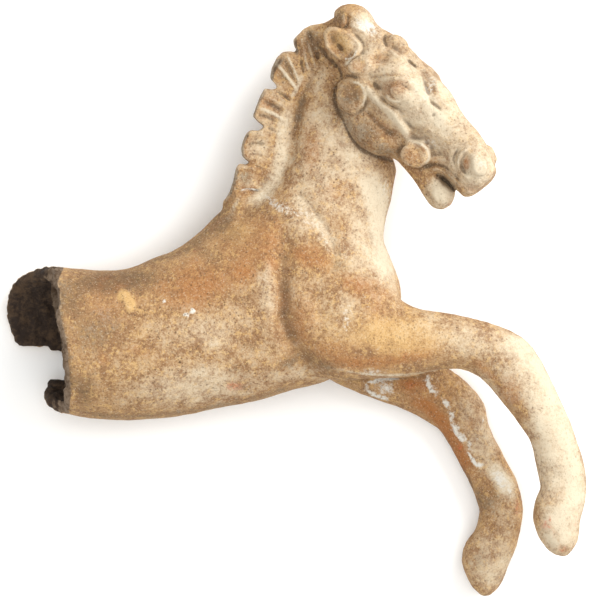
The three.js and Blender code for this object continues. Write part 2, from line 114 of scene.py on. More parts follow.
# Where the outline is eased to the photograph: middle and half sizes in pixels, the step across and up in
# millimetres, and the heights in millimetres between which it is taken
EASED = {
    "far wall corner": ((16, 284), (14, 14), (-0.7, 0.9), (-9, 99)),
    "rump": ((82, 268), (18, 8), (0, -0.6), (-9, 99)),
    "back": ((175, 247), (28, 12), (0.4, -0.9), (-9, 99)),
    "withers": ((213, 215), (12, 16), (-1.0, 0.8), (-9, 99)),
    "lower tab": ((48, 396), (7, 14), (-0.9, -0.2), (-9, 99)),
    "notch": ((61, 364), (5, 15), (1.2, 0), (-9, 99)),
    "belly": ((288, 392), (34, 10), (0, 1.1), (-9, 99)),
    "elbow": ((404, 410), (34, 14), (0.3, 0.9), (-9, 99)),
    "far forearm": ((472, 388), (18, 16), (-0.8, -0.8), (-9, 27)),
    "near forearm": ((464, 369), (16, 6), (0.3, -0.7), (34, 99)),
    "near leg top": ((425, 308), (28, 8), (-0.2, -0.8), (-9, 99)),
    "far hoof": ((472, 530), (7, 14), (1.0, -0.4), (-9, 99)),
    "throat": ((388, 208), (7, 20), (-0.8, 0), (-9, 99)),
    "breast": ((387, 247), (6, 12), (0.5, 0), (-9, 99)),
    "jaw corner": ((395, 168), (5, 9), (0.8, 0), (-9, 99)),
    "muzzle": ((496, 160), (7, 16), (-1.1, 0), (-9, 99)),
    "forehead": ((378, 26), (10, 10), (-0.5, -0.5), (-9, 99)),
    "far brow": ((428, 66), (14, 12), (-0.4, -0.4), (-9, 99)),
    "forelock": ((335, 16), (6, 7), (-1.3, 0.6), (-9, 99)),
    "poll": ((314, 29), (20, 9), (-0.3, 0.6), (-9, 99)),
    "forelock top": ((352, 5), (14, 6), (0, -0.7), (-9, 99)),
}

# How much the tables below are deepened
HEAD_DEPTH = 1.7
BODY_DEPTH = 1.5

# Carved lines of the head: points, half width and height in millimetres. A height below nothing is a groove.
HEAD_LINES = {
    "ear rim": ([(322, 38), (327, 31), (334, 28.5), (342, 31), (351, 37), (358, 46), (357, 53),
                 (350, 61), (343, 65), (336, 60), (328, 51), (322, 42), (322, 38)], 1.1, 0.15),
    "ear lower edge": ([(357, 50), (351, 60), (343, 66), (336, 61)], 0.8, 0.5),
    "ear right edge": ([(345, 32), (353, 38), (359, 46), (355, 56), (347, 64)], 0.9, 0.5),
    "ear right root": ([(352, 34), (360, 41), (364, 49), (360, 59)], 1.0, -0.4),
    "ear root": ([(316, 38), (320, 48), (328, 58), (336, 67), (341, 74), (342, 81)], 1.0, -0.8),
    "forelock parting": ([(347, 14), (348, 20), (347, 26), (342, 30)], 1.0, -0.8),
    "forelock strand": ([(348, 17), (356, 22), (366, 27), (374, 34)], 0.9, -0.5),
    "forelock outer strand": ([(352, 9), (360, 15), (369, 24), (379, 34)], 0.8, 0.4),
    "forelock low strand": ([(350, 25), (360, 31), (370, 38)], 0.8, 0.4),
    "forelock edge": ([(346, 6), (356, 11), (366, 19), (373, 28)], 0.8, -0.4),
    "far ear gap": ([(387, 33), (384, 39), (385, 45), (388, 49)], 0.9, -1.0),
    "far ear root": ([(389, 50), (395, 55), (403, 60)], 0.7, 0.5),
    "far temple cut": ([(407, 60), (412, 65), (417, 69)], 0.8, -1.2),
    "stud band": ([(345, 75), (356, 77.5), (367, 75.5), (371, 68)], 0.7, -0.4),
    "brow band": ([(373, 71), (385, 69), (398, 67), (410, 69)], 1.5, 0.5),
    "under the band": ([(372, 78), (384, 77), (396, 75)], 0.9, -0.45),
    "brow": ([(379, 82), (390, 79), (404, 80), (414, 86), (421, 96)], 1.9, 0.9),
    "eye crease": ([(372, 80), (376, 86), (381, 90), (387, 92)], 1.0, -0.35),
    "lower lid": ([(385, 94), (389, 99), (395, 102), (402, 103)], 0.7, 0.8),
    "under the lid": ([(376, 97), (383, 102), (391, 106.5), (400, 109)], 1.2, -0.35),
    "lid pouch": ([(374, 102), (384, 106), (394, 112), (402, 117)], 1.6, 0.4),
    "upper lid": ([(387, 90), (394, 86), (403, 87), (411, 92)], 0.6, -0.25),
    "cheekbone": ([(361, 80), (369, 92), (380, 104), (392, 115), (403, 128), (409, 139)], 1.7, 0.9),
    "cheekbone valley": ([(366, 108), (374, 119), (386, 130), (398, 138)], 2.2, -0.9),
    "disc rim": ([(351, 81), (358, 84), (362.5, 90), (364, 98), (362, 106), (358, 110)], 0.7, 0.45),
    "disc root": ([(339, 83), (335, 92), (334.5, 101), (337, 110), (343, 119)], 1.2, -0.7),
    "disc corner": ([(349, 112), (357, 112), (363, 108), (366, 100)], 0.9, -0.5),
    "jaw line": ([(340, 113), (347, 129), (353, 140), (361, 149), (373, 155), (386, 160), (397, 164)], 0.9, -0.6),
    "jaw ridge": ([(352, 120), (360, 133), (372, 144), (388, 151), (398, 157)], 2.2, 0.5),
    "bit rim": ([(403, 145), (411, 141.5), (421, 144), (428, 150), (429, 157), (426, 164), (418, 168)], 0.7, 0.45),
    "bit root": ([(400, 147), (397.5, 154), (401, 162)], 1.0, -0.6),
    "nostril ridge": ([(463, 152), (470, 148.5), (480, 149.5), (488, 156), (491, 165)], 1.1, 0.3),
    "nostril trough": ([(464, 156), (470, 153.5), (477, 153)], 0.9, -0.3),
    "nostril flare": ([(468, 149.5), (461, 153.5), (457.5, 160), (458, 168), (463, 176), (470, 180)], 0.8, 0.8),
    "nostril fold": ([(457, 150), (453, 158), (453.5, 167), (458, 176)], 0.7, -0.35),
    "muzzle crease": ([(454, 144), (462, 144.5), (470, 141)], 0.6, -0.25),
    "mouth": ([(438, 176), (444, 180), (450, 185), (457, 191)], 1.25, -4.2),
    "mouth roll": ([(430, 170), (439, 171), (447, 176), (455, 183), (461, 189)], 0.9, 0.8),
    "first lip fold": ([(424, 167), (434, 164.5), (444, 167), (453, 174), (460, 183)], 0.8, -0.6),
    "upper lip roll": ([(426, 161), (437, 159.5), (448, 162), (457, 170)], 1.0, 0.4),
    "second lip fold": ([(421, 172), (424, 182), (426, 192), (431, 201)], 0.9, -0.4),
    "third lip fold": ([(428, 172), (430, 181), (431, 190)], 0.7, -0.25),
    "lip crease": ([(465, 186), (471, 190.5), (478, 192)], 0.7, -0.35),
    "chin parting": ([(436, 190), (438, 199), (441, 205)], 0.8, -0.25),
    "far brow cut": ([(418, 66), (422, 76), (426, 88), (429, 98)], 1.1, -0.5),
    "far brow": ([(424, 64), (431, 72), (436, 84), (438, 96)], 1.5, 0.8),
    "far lid": ([(431, 97.5), (438, 100), (446, 105), (453, 111)], 0.8, 0.5),
    "far tear cut": ([(429, 100), (431.5, 104), (437, 108), (442, 111)], 0.8, -0.6),
    "near nose edge": ([(402, 116), (416, 124), (432, 134), (450, 142)], 1.4, 0.35),
    "under the nose edge": ([(404, 122), (418, 131), (434, 141)], 1.6, -0.35),
    "nose ridge": ([(409, 64), (417, 80), (423, 95), (433, 110), (446, 124), (464, 140)], 3.0, 0.25),
}

# Round marks of the head: middle, half sizes in pixels, turn in degrees and height in millimetres
HEAD_MARKS = {
    "ear hollow": ((342, 46.5), (17, 11), -48, -1.1),
    "ear depth": ((341, 49), (6, 3), -48, -0.8),
    "temple hollow": ((382, 58), (9, 7), 0, -0.8),
    "brow hollow": ((378, 86), (5, 5), 0, -0.5),
    "far ear pit": ((394, 48), (5.5, 3.6), -10, -0.25),
    "nostril hollow": ((465, 164.5), (6, 11), -8, -1.3),
    "far tear pit": ((433.5, 115.5), (2.2, 2.6), 0, -0.45),
    "cheek": ((372, 140), (16, 11), -35, 0.5),
}

# Carved lines of the mane, the body and the legs
BODY_LINES = {
    "mane base": ([(308, 66), (303, 78), (294, 95), (288, 110), (285, 126), (284, 144), (281, 163),
                   (273, 181), (261, 194), (247, 205)], 2.6, 0.5),
    "mane hollow": ([(312, 76), (306, 90), (300, 108), (297, 128), (296, 150)], 2.4, -0.4),
    "lock one ridge": ([(301, 37), (304, 48), (306, 60), (308, 70)], 0.6, 0.45),
    "lock one groove": ([(308, 31), (312, 42), (315, 53), (319, 62)], 0.9, -0.6),
    "lock one far ridge": ([(304, 36), (309, 48), (313, 60), (316, 70)], 0.6, 0.4),
    "lock one far groove": ([(320, 30), (322, 42), (326, 52)], 0.9, -0.4),
    "lock two middle groove": ([(283, 58), (289, 66), (294, 74)], 0.6, -0.5),
    "lock three middle ridge": ([(266, 96), (276, 101), (286, 109)], 0.6, 0.45),
    "lock three upper groove": ([(274, 90), (282, 95), (289, 101)], 0.6, -0.45),
    "lock four groove": ([(246, 146), (256, 143), (266, 145)], 0.9, -0.45),
    "lock four low groove": ([(245, 156), (255, 154), (264, 157)], 0.8, -0.35),
    "lock one side": ([(297, 41), (300, 50), (302, 58)], 0.8, -0.35),
    "lock two ridge": ([(287, 55), (291, 64), (296, 74), (299, 83)], 0.6, 0.4),
    "lock two lower ridge": ([(277, 64), (284, 72), (291, 82), (297, 89)], 0.8, 0.55),
    "lock two groove": ([(283, 62), (289, 72), (295, 81)], 0.8, -0.3),
    "lock two root": ([(300, 58), (302, 66), (304, 76)], 0.8, -0.6),
    "lock three ridge": ([(271, 92), (280, 97), (288, 104)], 0.8, 0.3),
    "lock three lower ridge": ([(259, 108), (268, 111), (277, 116), (284, 121)], 0.8, 0.55),
    "lock three groove": ([(262, 100), (272, 105), (282, 111)], 0.9, -0.45),
    "lock three low groove": ([(256, 115), (266, 117), (276, 122)], 0.7, -0.4),
    "lock three root": ([(284, 95), (289, 99), (292, 103)], 0.8, -0.5),
    "lock four root": ([(266, 127), (271, 129), (276, 132)], 0.7, -0.35),
    "lock four edge": ([(248, 134), (258, 134), (268, 137)], 0.9, 0.35),
    "lock five root": ([(253, 165), (259, 167), (264, 170)], 0.7, -0.35),
    "lock five crack": ([(234, 187), (240, 190), (246, 188), (253, 191), (259, 190)], 0.5, -0.45),
    "lock five edge": ([(240, 168), (249, 168), (257, 170)], 0.8, 0.35),
    "shoulder crease": ([(287, 240), (284, 268), (283, 296), (285, 320), (293, 341), (307, 356), (324, 366)],
                        4.2, -1.3),
    "blade edge": ([(268, 258), (270, 290), (271, 318), (277, 340), (290, 356)], 3.4, 0.8),
    "neck crease": ([(296, 190), (314, 210), (330, 236), (337, 262)], 1.8, -0.6),
    "neck muscle": ([(276, 200), (296, 222), (314, 250), (322, 280)], 4.0, 0.6),
    "chest dip": ([(300, 236), (316, 256), (330, 268)], 4.0, -0.7),
    "arm muscle": ([(300, 290), (304, 318), (318, 340)], 4.0, 0.6),
    "arm dip": ([(318, 282), (320, 306), (328, 326)], 3.0, -0.5),
    "leg seam": ([(322, 366), (345, 371), (372, 374.5), (400, 375), (428, 371), (450, 368)], 0.8, 0.35),
    "under the seam": ([(316, 370), (345, 376), (372, 378.5), (402, 378.5), (428, 375.5)], 0.8, -0.35),
    "throat crease": ([(358, 168), (372, 196), (372, 226)], 6.0, -0.4),
    "flake edge": ([(117, 292), (123, 306), (131, 315), (138, 304)], 1.0, -0.35),
    "lower rim crack": ([(66, 407), (71, 411), (76, 414)], 0.5, -0.9),
    "rim crack": ([(46, 302), (52, 309), (55, 314)], 0.6, -0.8),
    "withers edge": ([(243, 200), (236, 216), (222, 233), (204, 248), (184, 258)], 1.4, 0.5),
    "near fetlock": ([(541, 472), (556, 478), (574, 480)], 3.2, -0.5),
    "near coronet": ([(533, 510), (548, 506), (566, 507), (581, 502)], 1.6, 0.4),
    "far fetlock": ([(482, 520), (496, 520), (510, 521)], 2.4, -0.4),
    "far knee": ([(463, 440), (478, 436), (490, 438)], 3.0, 0.4),
}

# Round marks of the body and the legs
BODY_MARKS = {
    "sand flake": ((128, 300), (9, 12), 25, 0.5),
    "black pit": ((180, 362), (1.6, 1.4), 0, -0.8),
    "pale grain": ((165, 301), (3, 2), 0, 0.3),
    "pale grain right": ((193, 311), (3.5, 3.5), 0, 0.35),
    "pale grain left": ((187, 315), (3.5, 3), 0, 0.35),
    "neck pit": ((318, 55), (2.2, 4), 0, -1.0),
    "neck pit below": ((337, 65), (2.2, 2.2), 0, -1.2),
    "crest pit": ((349, 283), (3, 2), 0, -0.3),
}

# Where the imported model's steps are blended away before the carving: points and half width in millimetres
BLENDED = [
    ([(316, 52), (304, 78), (292, 104), (286, 130), (284, 156), (276, 178), (262, 194), (244, 208)], 3.6),
    ([(284, 246), (281, 280), (282, 314), (292, 340), (312, 360)], 6.0),
    ([(340, 47), (341, 49), (342, 50)], 4.4),
    ([(462, 154), (462, 166), (466, 176)], 2.6),
    ([(368, 100), (384, 118), (400, 134)], 4.0),
    ([(338, 24), (350, 30), (362, 36), (376, 40)], 4.2),
    ([(366, 8), (374, 20), (382, 32)], 3.0),
    ([(326, 24), (336, 20), (344, 16)], 3.0),
    ([(478, 350), (500, 372), (524, 410)], 4.0),
]

# Where a colour lies: strokes have points, half width in pixels and strength; spots have a middle, half sizes,
# turn in degrees and strength
SLIP_STROKES = [
    ([(290, 100), (285, 122), (282, 150), (275, 178), (258, 197), (244, 212)], 10, 0.62),
    ([(352, 160), (374, 192), (380, 232), (386, 270), (392, 300)], 17, 0.8),
    ([(284, 190), (306, 208), (326, 236), (336, 262)], 11, 0.55),
    ([(352, 200), (358, 232), (362, 258)], 16, 0.5),
    ([(404, 316), (440, 322), (480, 332)], 12, 0.35),
    ([(486, 334), (510, 344), (535, 364), (552, 400), (566, 446), (574, 496), (566, 540)], 16, 0.8),
    ([(500, 350), (530, 390), (545, 430), (556, 470), (558, 510)], 14, 0.7),
    ([(524, 410), (540, 440), (546, 476), (542, 510)], 8, 0.5),
    ([(400, 64), (424, 94), (441, 122), (462, 146)], 13, 0.8),
    ([(362, 82), (371, 94), (382, 106), (396, 120), (410, 138), (432, 146)], 6, 0.75),
    # Painted highlights on the lit right rims of the cheek disc and the bit disc.
    ([(352, 82), (361, 86), (365, 97), (362, 108)], 1.6, 0.9),
    ([(412, 142), (424, 146), (429, 157), (424, 166)], 1.6, 0.9),
    ([(352, 60), (344, 66)], 2.0, 0.9),
    # Painted highlight along the lower lid.
    ([(384, 95), (390, 101), (401, 103.5)], 1.5, 0.9),
    ([(277, 64), (287, 76), (297, 89)], 1.8, 0.9),
    ([(287, 55), (295, 72), (300, 84)], 1.4, 0.7),
    ([(258, 108), (272, 113), (286, 121)], 2.4, 0.8),
    ([(301, 37), (305, 58), (309, 71)], 1.2, 0.6),
    ([(303, 72), (297, 88), (290, 100)], 3.0, 0.6),
    ([(262, 250), (268, 290), (268, 330)], 12, 0.5),
    ([(482, 460), (495, 472), (506, 487), (512, 505)], 10, 0.95),
    ([(240, 196), (232, 212), (224, 226)], 3, 0.5),
    ([(330, 366), (360, 373), (400, 375), (440, 370)], 1.4, 0.6),
]
SLIP_SPOTS = [
    ((200, 384), (90, 26), 6, 0.5),
    ((180, 338), (60, 40), 0, 0.3),
    ((302, 226), (30, 28), 0, 0.4),
    ((322, 160), (26, 56), 0, 0.45),
    ((482, 440), (22, 40), 10, 0.5),
    ((502, 520), (20, 30), 0, 0.4),
    ((492, 562), (26, 32), 0, 0.62),
    ((560, 526), (22, 34), 0, 0.85),
    ((440, 194), (18, 18), 0, 0.8),
    ((272, 98), (24, 20), 0, 0.4),
    ((316, 82), (18, 28), 0, 0.35),
    ((290, 374), (60, 10), 8, 0.4),
    ((336, 160), (58, 76), 0, 0.55),
    ((370, 240), (44, 70), 0, 0.5),
    ((424, 100), (84, 56), -45, 0.66),
    ((368, 50), (30, 36), 0, 0.5),
    ((500, 380), (60, 30), 45, 0.45),
    ((300, 52), (30, 30), 0, 0.25),
    ((470, 160), (40, 34), 0, 0.6),
    ((330, 300), (70, 60), 0, 0.28),
    ((470, 340), (80, 24), -10, 0.45),
    ((560, 470), (34, 80), 15, 0.6),
    ((300, 50), (36, 40), -45, 0.25),
    ((264, 130), (30, 44), -30, 0.35),
    ((492, 560), (26, 34), 0, 0.3),
    ((230, 330), (90, 60), 0, 0.3),
    ((112, 340), (40, 50), 0, 0.25),
    ((258, 148), (20, 18), 0, 0.45),
    ((330, 196), (26, 22), 0, 0.3),
    ((246, 182), (14, 12), 0, 0.5),
    ((364, 22), (18, 12), 35, 0.7),
    ((476, 170), (24, 26), 0, 0.75),
    ((400, 56), (16, 12), 0, 0.55),
    ((442, 192), (14, 16), 0, 0.6),
    ((450, 150), (20, 14), -30, 0.55),
    ((206, 332), (46, 24), -10, 0.42),
    ((150, 350), (60, 26), 0, 0.2),
    ((346, 306), (14, 26), -15, 0.4),
    ((384, 60), (12, 10), 0, 0.3),
    ((400, 92), (18, 14), 0, 0.35),
    ((382, 148), (16, 8), -20, 0.4),
    ((200, 385), (60, 10), 8, 0.25),
    ((288, 368), (14, 8), 10, 0.35),
    ((468, 416), (12, 24), 20, 0.5),
    ((250, 240), (26, 22), 0, 0.2),
    ((62, 285), (10, 14), 0, 0.25),
]
CHALK_STROKES = [
    ([(427, 374), (430, 388), (438, 398), (449, 405), (452, 414), (453, 424), (458, 436), (468, 443),
      (471, 456), (476, 464), (486, 470)], 2.3, 0.95),
    ([(400, 379), (382, 379), (368, 384), (366, 390), (374, 395), (390, 400)], 2.2, 0.85),
    ([(486, 466), (496, 474), (505, 485), (511, 497)], 7.5, 0.62),
    ([(264, 208), (282, 204), (300, 214), (318, 232), (332, 254)], 6.0, 0.36),
    ([(240, 190), (250, 189), (260, 191)], 1.4, 0.6),
    ([(236, 200), (230, 214)], 2.0, 0.4),
    ([(350, 18), (366, 27), (382, 38)], 8.0, 0.66),
    ([(403, 70), (418, 92), (428, 112)], 5.0, 0.35),
    ([(452, 420), (460, 428), (462, 440)], 1.6, 0.6),
    ([(484, 414), (482, 430), (476, 440), (468, 440)], 1.4, 0.6),
    ([(343, 60), (352, 58), (357, 50)], 1.2, 0.6),
]
CHALK_SPOTS = [
    ((510, 492), (7, 7), 0, 0.5),
    ((386, 388), (12, 8), 0, 0.6),
    ((436, 388), (8, 10), 0, 0.4),
    ((372, 372), (18, 4), 0, 0.5),
    ((500, 360), (12, 8), 30, 0.3),
    ((276, 205), (20, 6), -40, 0.5),
    ((342, 262), (12, 4), 60, 0.4),
    ((346, 318), (7, 18), -10, 0.5),
    ((284, 208), (18, 7), -32, 0.45),
    ((308, 214), (14, 6), -30, 0.35),
    ((165, 301), (3, 2), 0, 0.8),
    ((193, 311), (4, 4), 0, 0.8),
    ((186, 315), (4, 3), 0, 0.8),
    ((372, 28), (12, 8), 45, 0.4),
    ((428, 90), (8, 22), -20, 0.4),
    ((430, 144), (14, 8), -20, 0.4),
    ((480, 165), (9, 8), 0, 0.45),
    ((385, 190), (10, 20), 0, 0.35),
]
OCHRE_STROKES = [
    ([(258, 232), (270, 256), (280, 284)], 10, 0.5),
    ([(306, 240), (322, 258), (334, 276)], 8, 0.6),
    ([(300, 296), (302, 330), (318, 352)], 8, 0.5),
    ([(368, 274), (384, 292), (392, 306)], 6, 0.4),
    ([(546, 520), (556, 534), (562, 548)], 2, 0.5),
    ([(284, 262), (281, 290), (283, 316), (292, 338), (308, 352)], 12, 0.36),
    ([(322, 358), (360, 362), (400, 358), (440, 350)], 8, 0.6),
    ([(404, 396), (430, 408), (448, 432), (464, 460), (474, 478)], 9, 0.8),
    ([(470, 356), (500, 384), (522, 408)], 5, 0.5),
    ([(366, 110), (378, 122), (394, 134)], 4, 0.4),
    ([(424, 66), (432, 80), (436, 96), (446, 106)], 5, 0.25),
    ([(240, 226), (228, 244), (226, 262)], 10, 0.5),
]
OCHRE_SPOTS = [
    ((110, 300), (40, 34), 0, 0.35),
    ((196, 286), (46, 28), 10, 0.6),
    ((256, 246), (40, 34), -20, 0.5),
    ((300, 320), (24, 34), 0, 0.35),
    ((380, 350), (60, 16), 0, 0.35),
    ((322, 160), (20, 40), 0, 0.2),
    ((420, 408), (40, 30), 30, 0.35),
    ((380, 59), (10, 8), 0, 0.45),
    ((190, 288), (22, 20), 0, 0.55),
    ((240, 272), (22, 14), 0, 0.6),
    ((226, 258), (10, 24), 0, 0.4),
    ((104, 358), (8, 12), 0, 0.5),
    ((140, 350), (18, 8), 0, 0.4),
    ((308, 258), (24, 12), -28, 0.65),
    ((270, 224), (24, 12), -20, 0.45),
    ((358, 286), (24, 12), -20, 0.6),
    ((376, 306), (16, 22), 0, 0.35),
    ((330, 350), (28, 14), 0, 0.5),
    ((312, 150), (12, 30), 0, 0.5),
    ((338, 190), (18, 16), 0, 0.4),
    ((338, 45), (11, 6), -48, 0.35),
    ((396, 88), (20, 11), 20, 0.5),
    ((360, 67), (10, 7), 0, 0.4),
    ((384, 58), (9, 6), 0, 0.3),
    ((466, 164), (4, 8), 0, 0.7),
    ((411, 155), (12, 11), 0, 0.35),
    ((415, 386), (22, 9), 0, 0.8),
    ((470, 424), (7, 8), 0, 0.5),
    ((268, 102), (10, 9), 0, 0.45),
    ((245, 190), (12, 8), 0, 0.4),
    ((510, 390), (16, 22), -35, 0.45),
    ((420, 346), (30, 14), 0, 0.4),
    ((494, 556), (10, 16), 0, 0.35),
]
# Umber strokes: mostly painted shade on the sides that turn from the light, along the back, withers, belly, broken
# rim and the mane locks' left edges, in the shoulder crease and the neck hollow, and under the jaw, lids and brow
# band; the rest are dark marks of the clay.
SHADE_AND_UMBER_STROKES = [
    ([(372, 82), (384, 88), (398, 86), (412, 94)], 5, 0.35),
    ([(376, 99), (387, 105), (399, 110)], 2.6, 0.3),
    ([(372, 77), (384, 76), (397, 75)], 2.0, 0.4),
    ([(419, 66), (429, 80), (437, 98)], 4, 0.55),
    ([(430, 101), (442, 111)], 2.0, 0.5),
    ([(364, 110), (380, 126), (397, 138)], 3.6, 0.5),
    ([(459, 153), (458, 164), (462, 176)], 2.4, 0.5),
    ([(424, 168), (438, 167), (452, 178), (460, 187)], 2.4, 0.45),
    ([(300, 346), (318, 362), (344, 370)], 7, 0.5),
    ([(286, 272), (285, 302), (289, 328), (302, 346)], 7, 0.6),
    ([(236, 182), (227, 206), (214, 225), (198, 241), (180, 253)], 6, 0.42),
    ([(248, 134), (243, 144), (243, 156), (250, 164)], 4, 0.5),
    ([(306, 84), (300, 112), (297, 140), (296, 176)], 5, 0.35),
    ([(404, 372), (440, 366), (462, 358)], 4, 0.35),
    ([(482, 488), (487, 510), (486, 522)], 6, 0.4),
    ([(295, 36), (295, 46), (298, 56)], 3.0, 1.0),
    ([(283, 57), (274, 68), (270, 82), (274, 88)], 3.4, 1.0),
    ([(265, 90), (257, 102), (252, 116), (258, 122)], 3.4, 1.0),
    ([(250, 130), (242, 142), (241, 156), (248, 166)], 3.4, 1.0),
    ([(238, 166), (233, 184), (227, 200)], 3.0, 0.8),
    ([(333, 12), (334, 18), (338, 22)], 2.4, 0.6),
    ([(238, 172), (232, 196), (222, 216), (206, 236), (182, 252), (150, 262), (120, 267)], 4, 0.45),
    ([(74, 410), (120, 416), (180, 412), (240, 401), (292, 386)], 3.4, 0.42),
    ([(60, 276), (64, 300), (62, 318), (66, 340), (70, 372), (72, 398)], 4, 0.5),
    ([(330, 58), (338, 67), (343, 78)], 1.6, 0.7),
    ([(337, 84), (334, 98), (341, 116), (353, 140), (369, 153), (396, 162)], 1.3, 0.7),
    ([(346, 108), (350, 126), (362, 142), (380, 152)], 8, 0.5),
    ([(422, 178), (428, 194), (438, 205)], 3, 0.35),
    ([(306, 92), (300, 110), (296, 130)], 6, 0.5),
    ([(316, 372), (360, 380), (400, 383)], 2, 0.4),
    ([(480, 480), (482, 500), (484, 520)], 8, 0.5),
    ([(440, 430), (462, 466), (474, 492)], 3, 0.6),
    ([(422, 167), (436, 166), (450, 174)], 2, 0.4),
]
# Umber spots: painted shade on the shaded sides of the discs, jaw, withers, back and rump, with dark marks of the
# clay.
SHADE_AND_UMBER_SPOTS = [
    ((349, 96), (14, 15), 0, 0.6),
    ((366, 134), (22, 16), -35, 0.5),
    ((384, 150), (16, 10), -20, 0.5),
    ((312, 44), (12, 14), 0, 0.6),
    ((284, 72), (12, 14), 0, 0.4),
    ((246, 178), (9, 10), 0, 0.5),
    ((112, 282), (60, 16), 4, 0.6),
    ((226, 226), (30, 16), -52, 0.55),
    ((200, 250), (34, 8), -24, 0.35),
    ((76, 300), (14, 34), 0, 0.5),
    ((100, 330), (34, 30), 0, 0.45),
    ((250, 345), (14, 9), 0, 0.35),
    ((84, 394), (12, 16), 0, 0.4),
    ((348, 322), (16, 8), 0, 0.2),
    ((330, 366), (30, 6), 5, 0.45),
    ((390, 88), (22, 8), 15, 0.3),
    ((432, 82), (6, 16), -25, 0.45),
    ((340, 17), (7, 9), 0, 0.55),
    ((343, 110), (8, 22), -25, 0.5),
    ((341, 45), (13, 8), -48, 0.5),
    ((418, 132), (14, 5), 32, 0.3),
    ((448, 124), (10, 6), 45, 0.25),
    ((404, 52), (6, 4), 40, 0.3),
    ((462, 164), (4, 9), 0, 0.4),
    ((424, 168), (10, 8), 30, 0.2),
    ((84, 390), (14, 22), 0, 0.5),
    ((136, 282), (40, 14), 0, 0.35),
    ((410, 155), (13, 11), 0, 0.3),
    ((564, 549), (6, 5), 0, 0.5),
    ((375, 86), (5, 4), 0, 0.4),
    ((240, 372), (18, 12), 0, 0.35),
    ((492, 500), (14, 22), 0, 0.4),
    ((480, 560), (12, 16), 0, 0.4),
    ((340, 230), (12, 20), 0, 0.25),
    ((336, 266), (14, 8), 0, 0.5),
    ((290, 362), (20, 8), 30, 0.5),
    ((512, 400), (10, 12), -40, 0.4),
]
BLUSH_SPOTS = [
    ((563, 548), (8, 7), 0, 0.6),
    ((546, 526), (12, 7), -35, 0.6),
    ((517, 508), (5, 13), 0, 0.6),
    ((412, 385), (7, 5), 0, 0.85),
    ((403, 355), (5, 4), 0, 0.7),
    ((460, 447), (4, 5), 0, 0.8),
    ((234, 386), (13, 8), 0, 0.65),
    ((197, 251), (9, 3), 8, 0.6),
    ((470, 190), (8, 4), -30, 0.5),
    ((466, 160), (4, 8), 0, 0.4),
    ((100, 360), (5, 8), 0, 0.45),
    ((136, 346), (6, 3), 0, 0.5),
    ((574, 520), (4, 12), 0, 0.5),
    ((548, 520), (4, 12), -30, 0.6),
    ((556, 536), (3, 10), -30, 0.6),
    ((352, 38), (8, 4), 20, 0.35),
    ((388, 126), (8, 5), 40, 0.4),
    ((477, 350), (6, 6), 0, 0.4),
    ((450, 205), (6, 3), 0, 0.5),
]
SAND_SPOTS = [
    ((400, 335), (70, 26), 0, 0.6),
    ((440, 126), (30, 12), 45, 0.45),
    ((412, 128), (12, 6), 30, 0.5),
    ((398, 60), (8, 6), 0, 0.4),
    ((500, 430), (20, 30), 0, 0.3),
    ((330, 260), (40, 30), 0, 0.3),
    ((140, 370), (60, 30), 0, 0.25),
    ((86, 330), (24, 40), 0, 0.15),
    ((340, 330), (40, 40), 0, 0.35),
    ((365, 160), (20, 20), 0, 0.25),
    ((124, 296), (8, 6), 20, 1.0),
    ((131, 306), (6, 8), 0, 1.0),
    ((140, 335), (20, 10), 0, 0.4),
    ((240, 235), (24, 18), 0, 0.45),
    ((150, 300), (70, 30), 0, 0.15),
    ((420, 335), (40, 10), 0, 0.45),
    ((343, 45), (15, 10), -48, 0.6),
    ((500, 565), (8, 16), 0, 0.4),
]
BREAK_AREAS = [
    [(60, 266), (34, 264), (12, 280), (2, 300), (8, 330), (14, 346), (66, 352), (61, 334), (55, 312), (49, 288)],
    [(54, 378), (44, 386), (40, 400), (48, 412), (62, 414), (67, 396), (68, 378)],
]
BREAK_EDGE = [(60, 268), (54, 286), (57, 310), (62, 334), (65, 350), (67, 378), (68, 394), (66, 408)]


def colour_setting(name, text, shade):
    """A colour that the user can change, written as the eye reads it."""
    return bpy.props.FloatVectorProperty(
        name=name, description=text, default=[part / 255 for part in shade],
        subtype="COLOR_GAMMA", size=3, min=0.0, max=1.0)


class ClaySizes(bpy.types.PropertyGroup):
    """Sizes of the carved clay surface."""
    grain: bpy.props.FloatProperty(
        name="Grain", description="Side of the little squares that the clay surface is made of",
        default=0.00078, min=0.0004, max=0.004, unit="LENGTH", subtype="DISTANCE")
    relief: bpy.props.FloatProperty(
        name="Relief", description="How deep the carved lines are, against the real ones", default=1.0,
        min=0.0, max=2.0, subtype="FACTOR")
    unevenness: bpy.props.FloatProperty(
        name="Unevenness", description="Height of the lumps that the modeller's hand left",
        default=0.0004, min=0.0, max=0.002, unit="LENGTH", subtype="DISTANCE")
    most_triangles: bpy.props.IntProperty(
        name="Most triangles", description="How many triangles the finished piece may have",
        default=170000, min=20000, max=198000)


class ClayColours(bpy.types.PropertyGroup):
    """Colours of the fired clay, of what is left on it, and of its painted shade."""
    clay: colour_setting("Clay", "Fired clay where the slip is gone", (166, 131, 91))
    brown: colour_setting("Brown", "Darker mottles of the clay", (136, 101, 68))
    # Umber is laid as painted shade along edges, creases and hollows, as well as grime and dark specks.
    umber_and_shade: colour_setting("Umber", "Grime and dark specks", (84, 66, 49))
    ochre: colour_setting("Ochre", "Orange clay", (154, 101, 56))
    slip: colour_setting("Slip", "Worn cream slip", (202, 188, 163))
    chalk: colour_setting("Chalk", "Thick white slip", (208, 204, 194))
    blush: colour_setting("Blush", "Traces of pink", (178, 94, 60))
    sand: colour_setting("Sand", "Yellow flaked places", (193, 156, 103))
    # Painted shade: the dark of the hollow's inside, on its walls and where the break lays it open.
    inside_shade: colour_setting("Soot", "Dark inside of the hollow", (46, 35, 28))
    rim: colour_setting("Rim", "Rough end of the broken wall", (124, 106, 88))


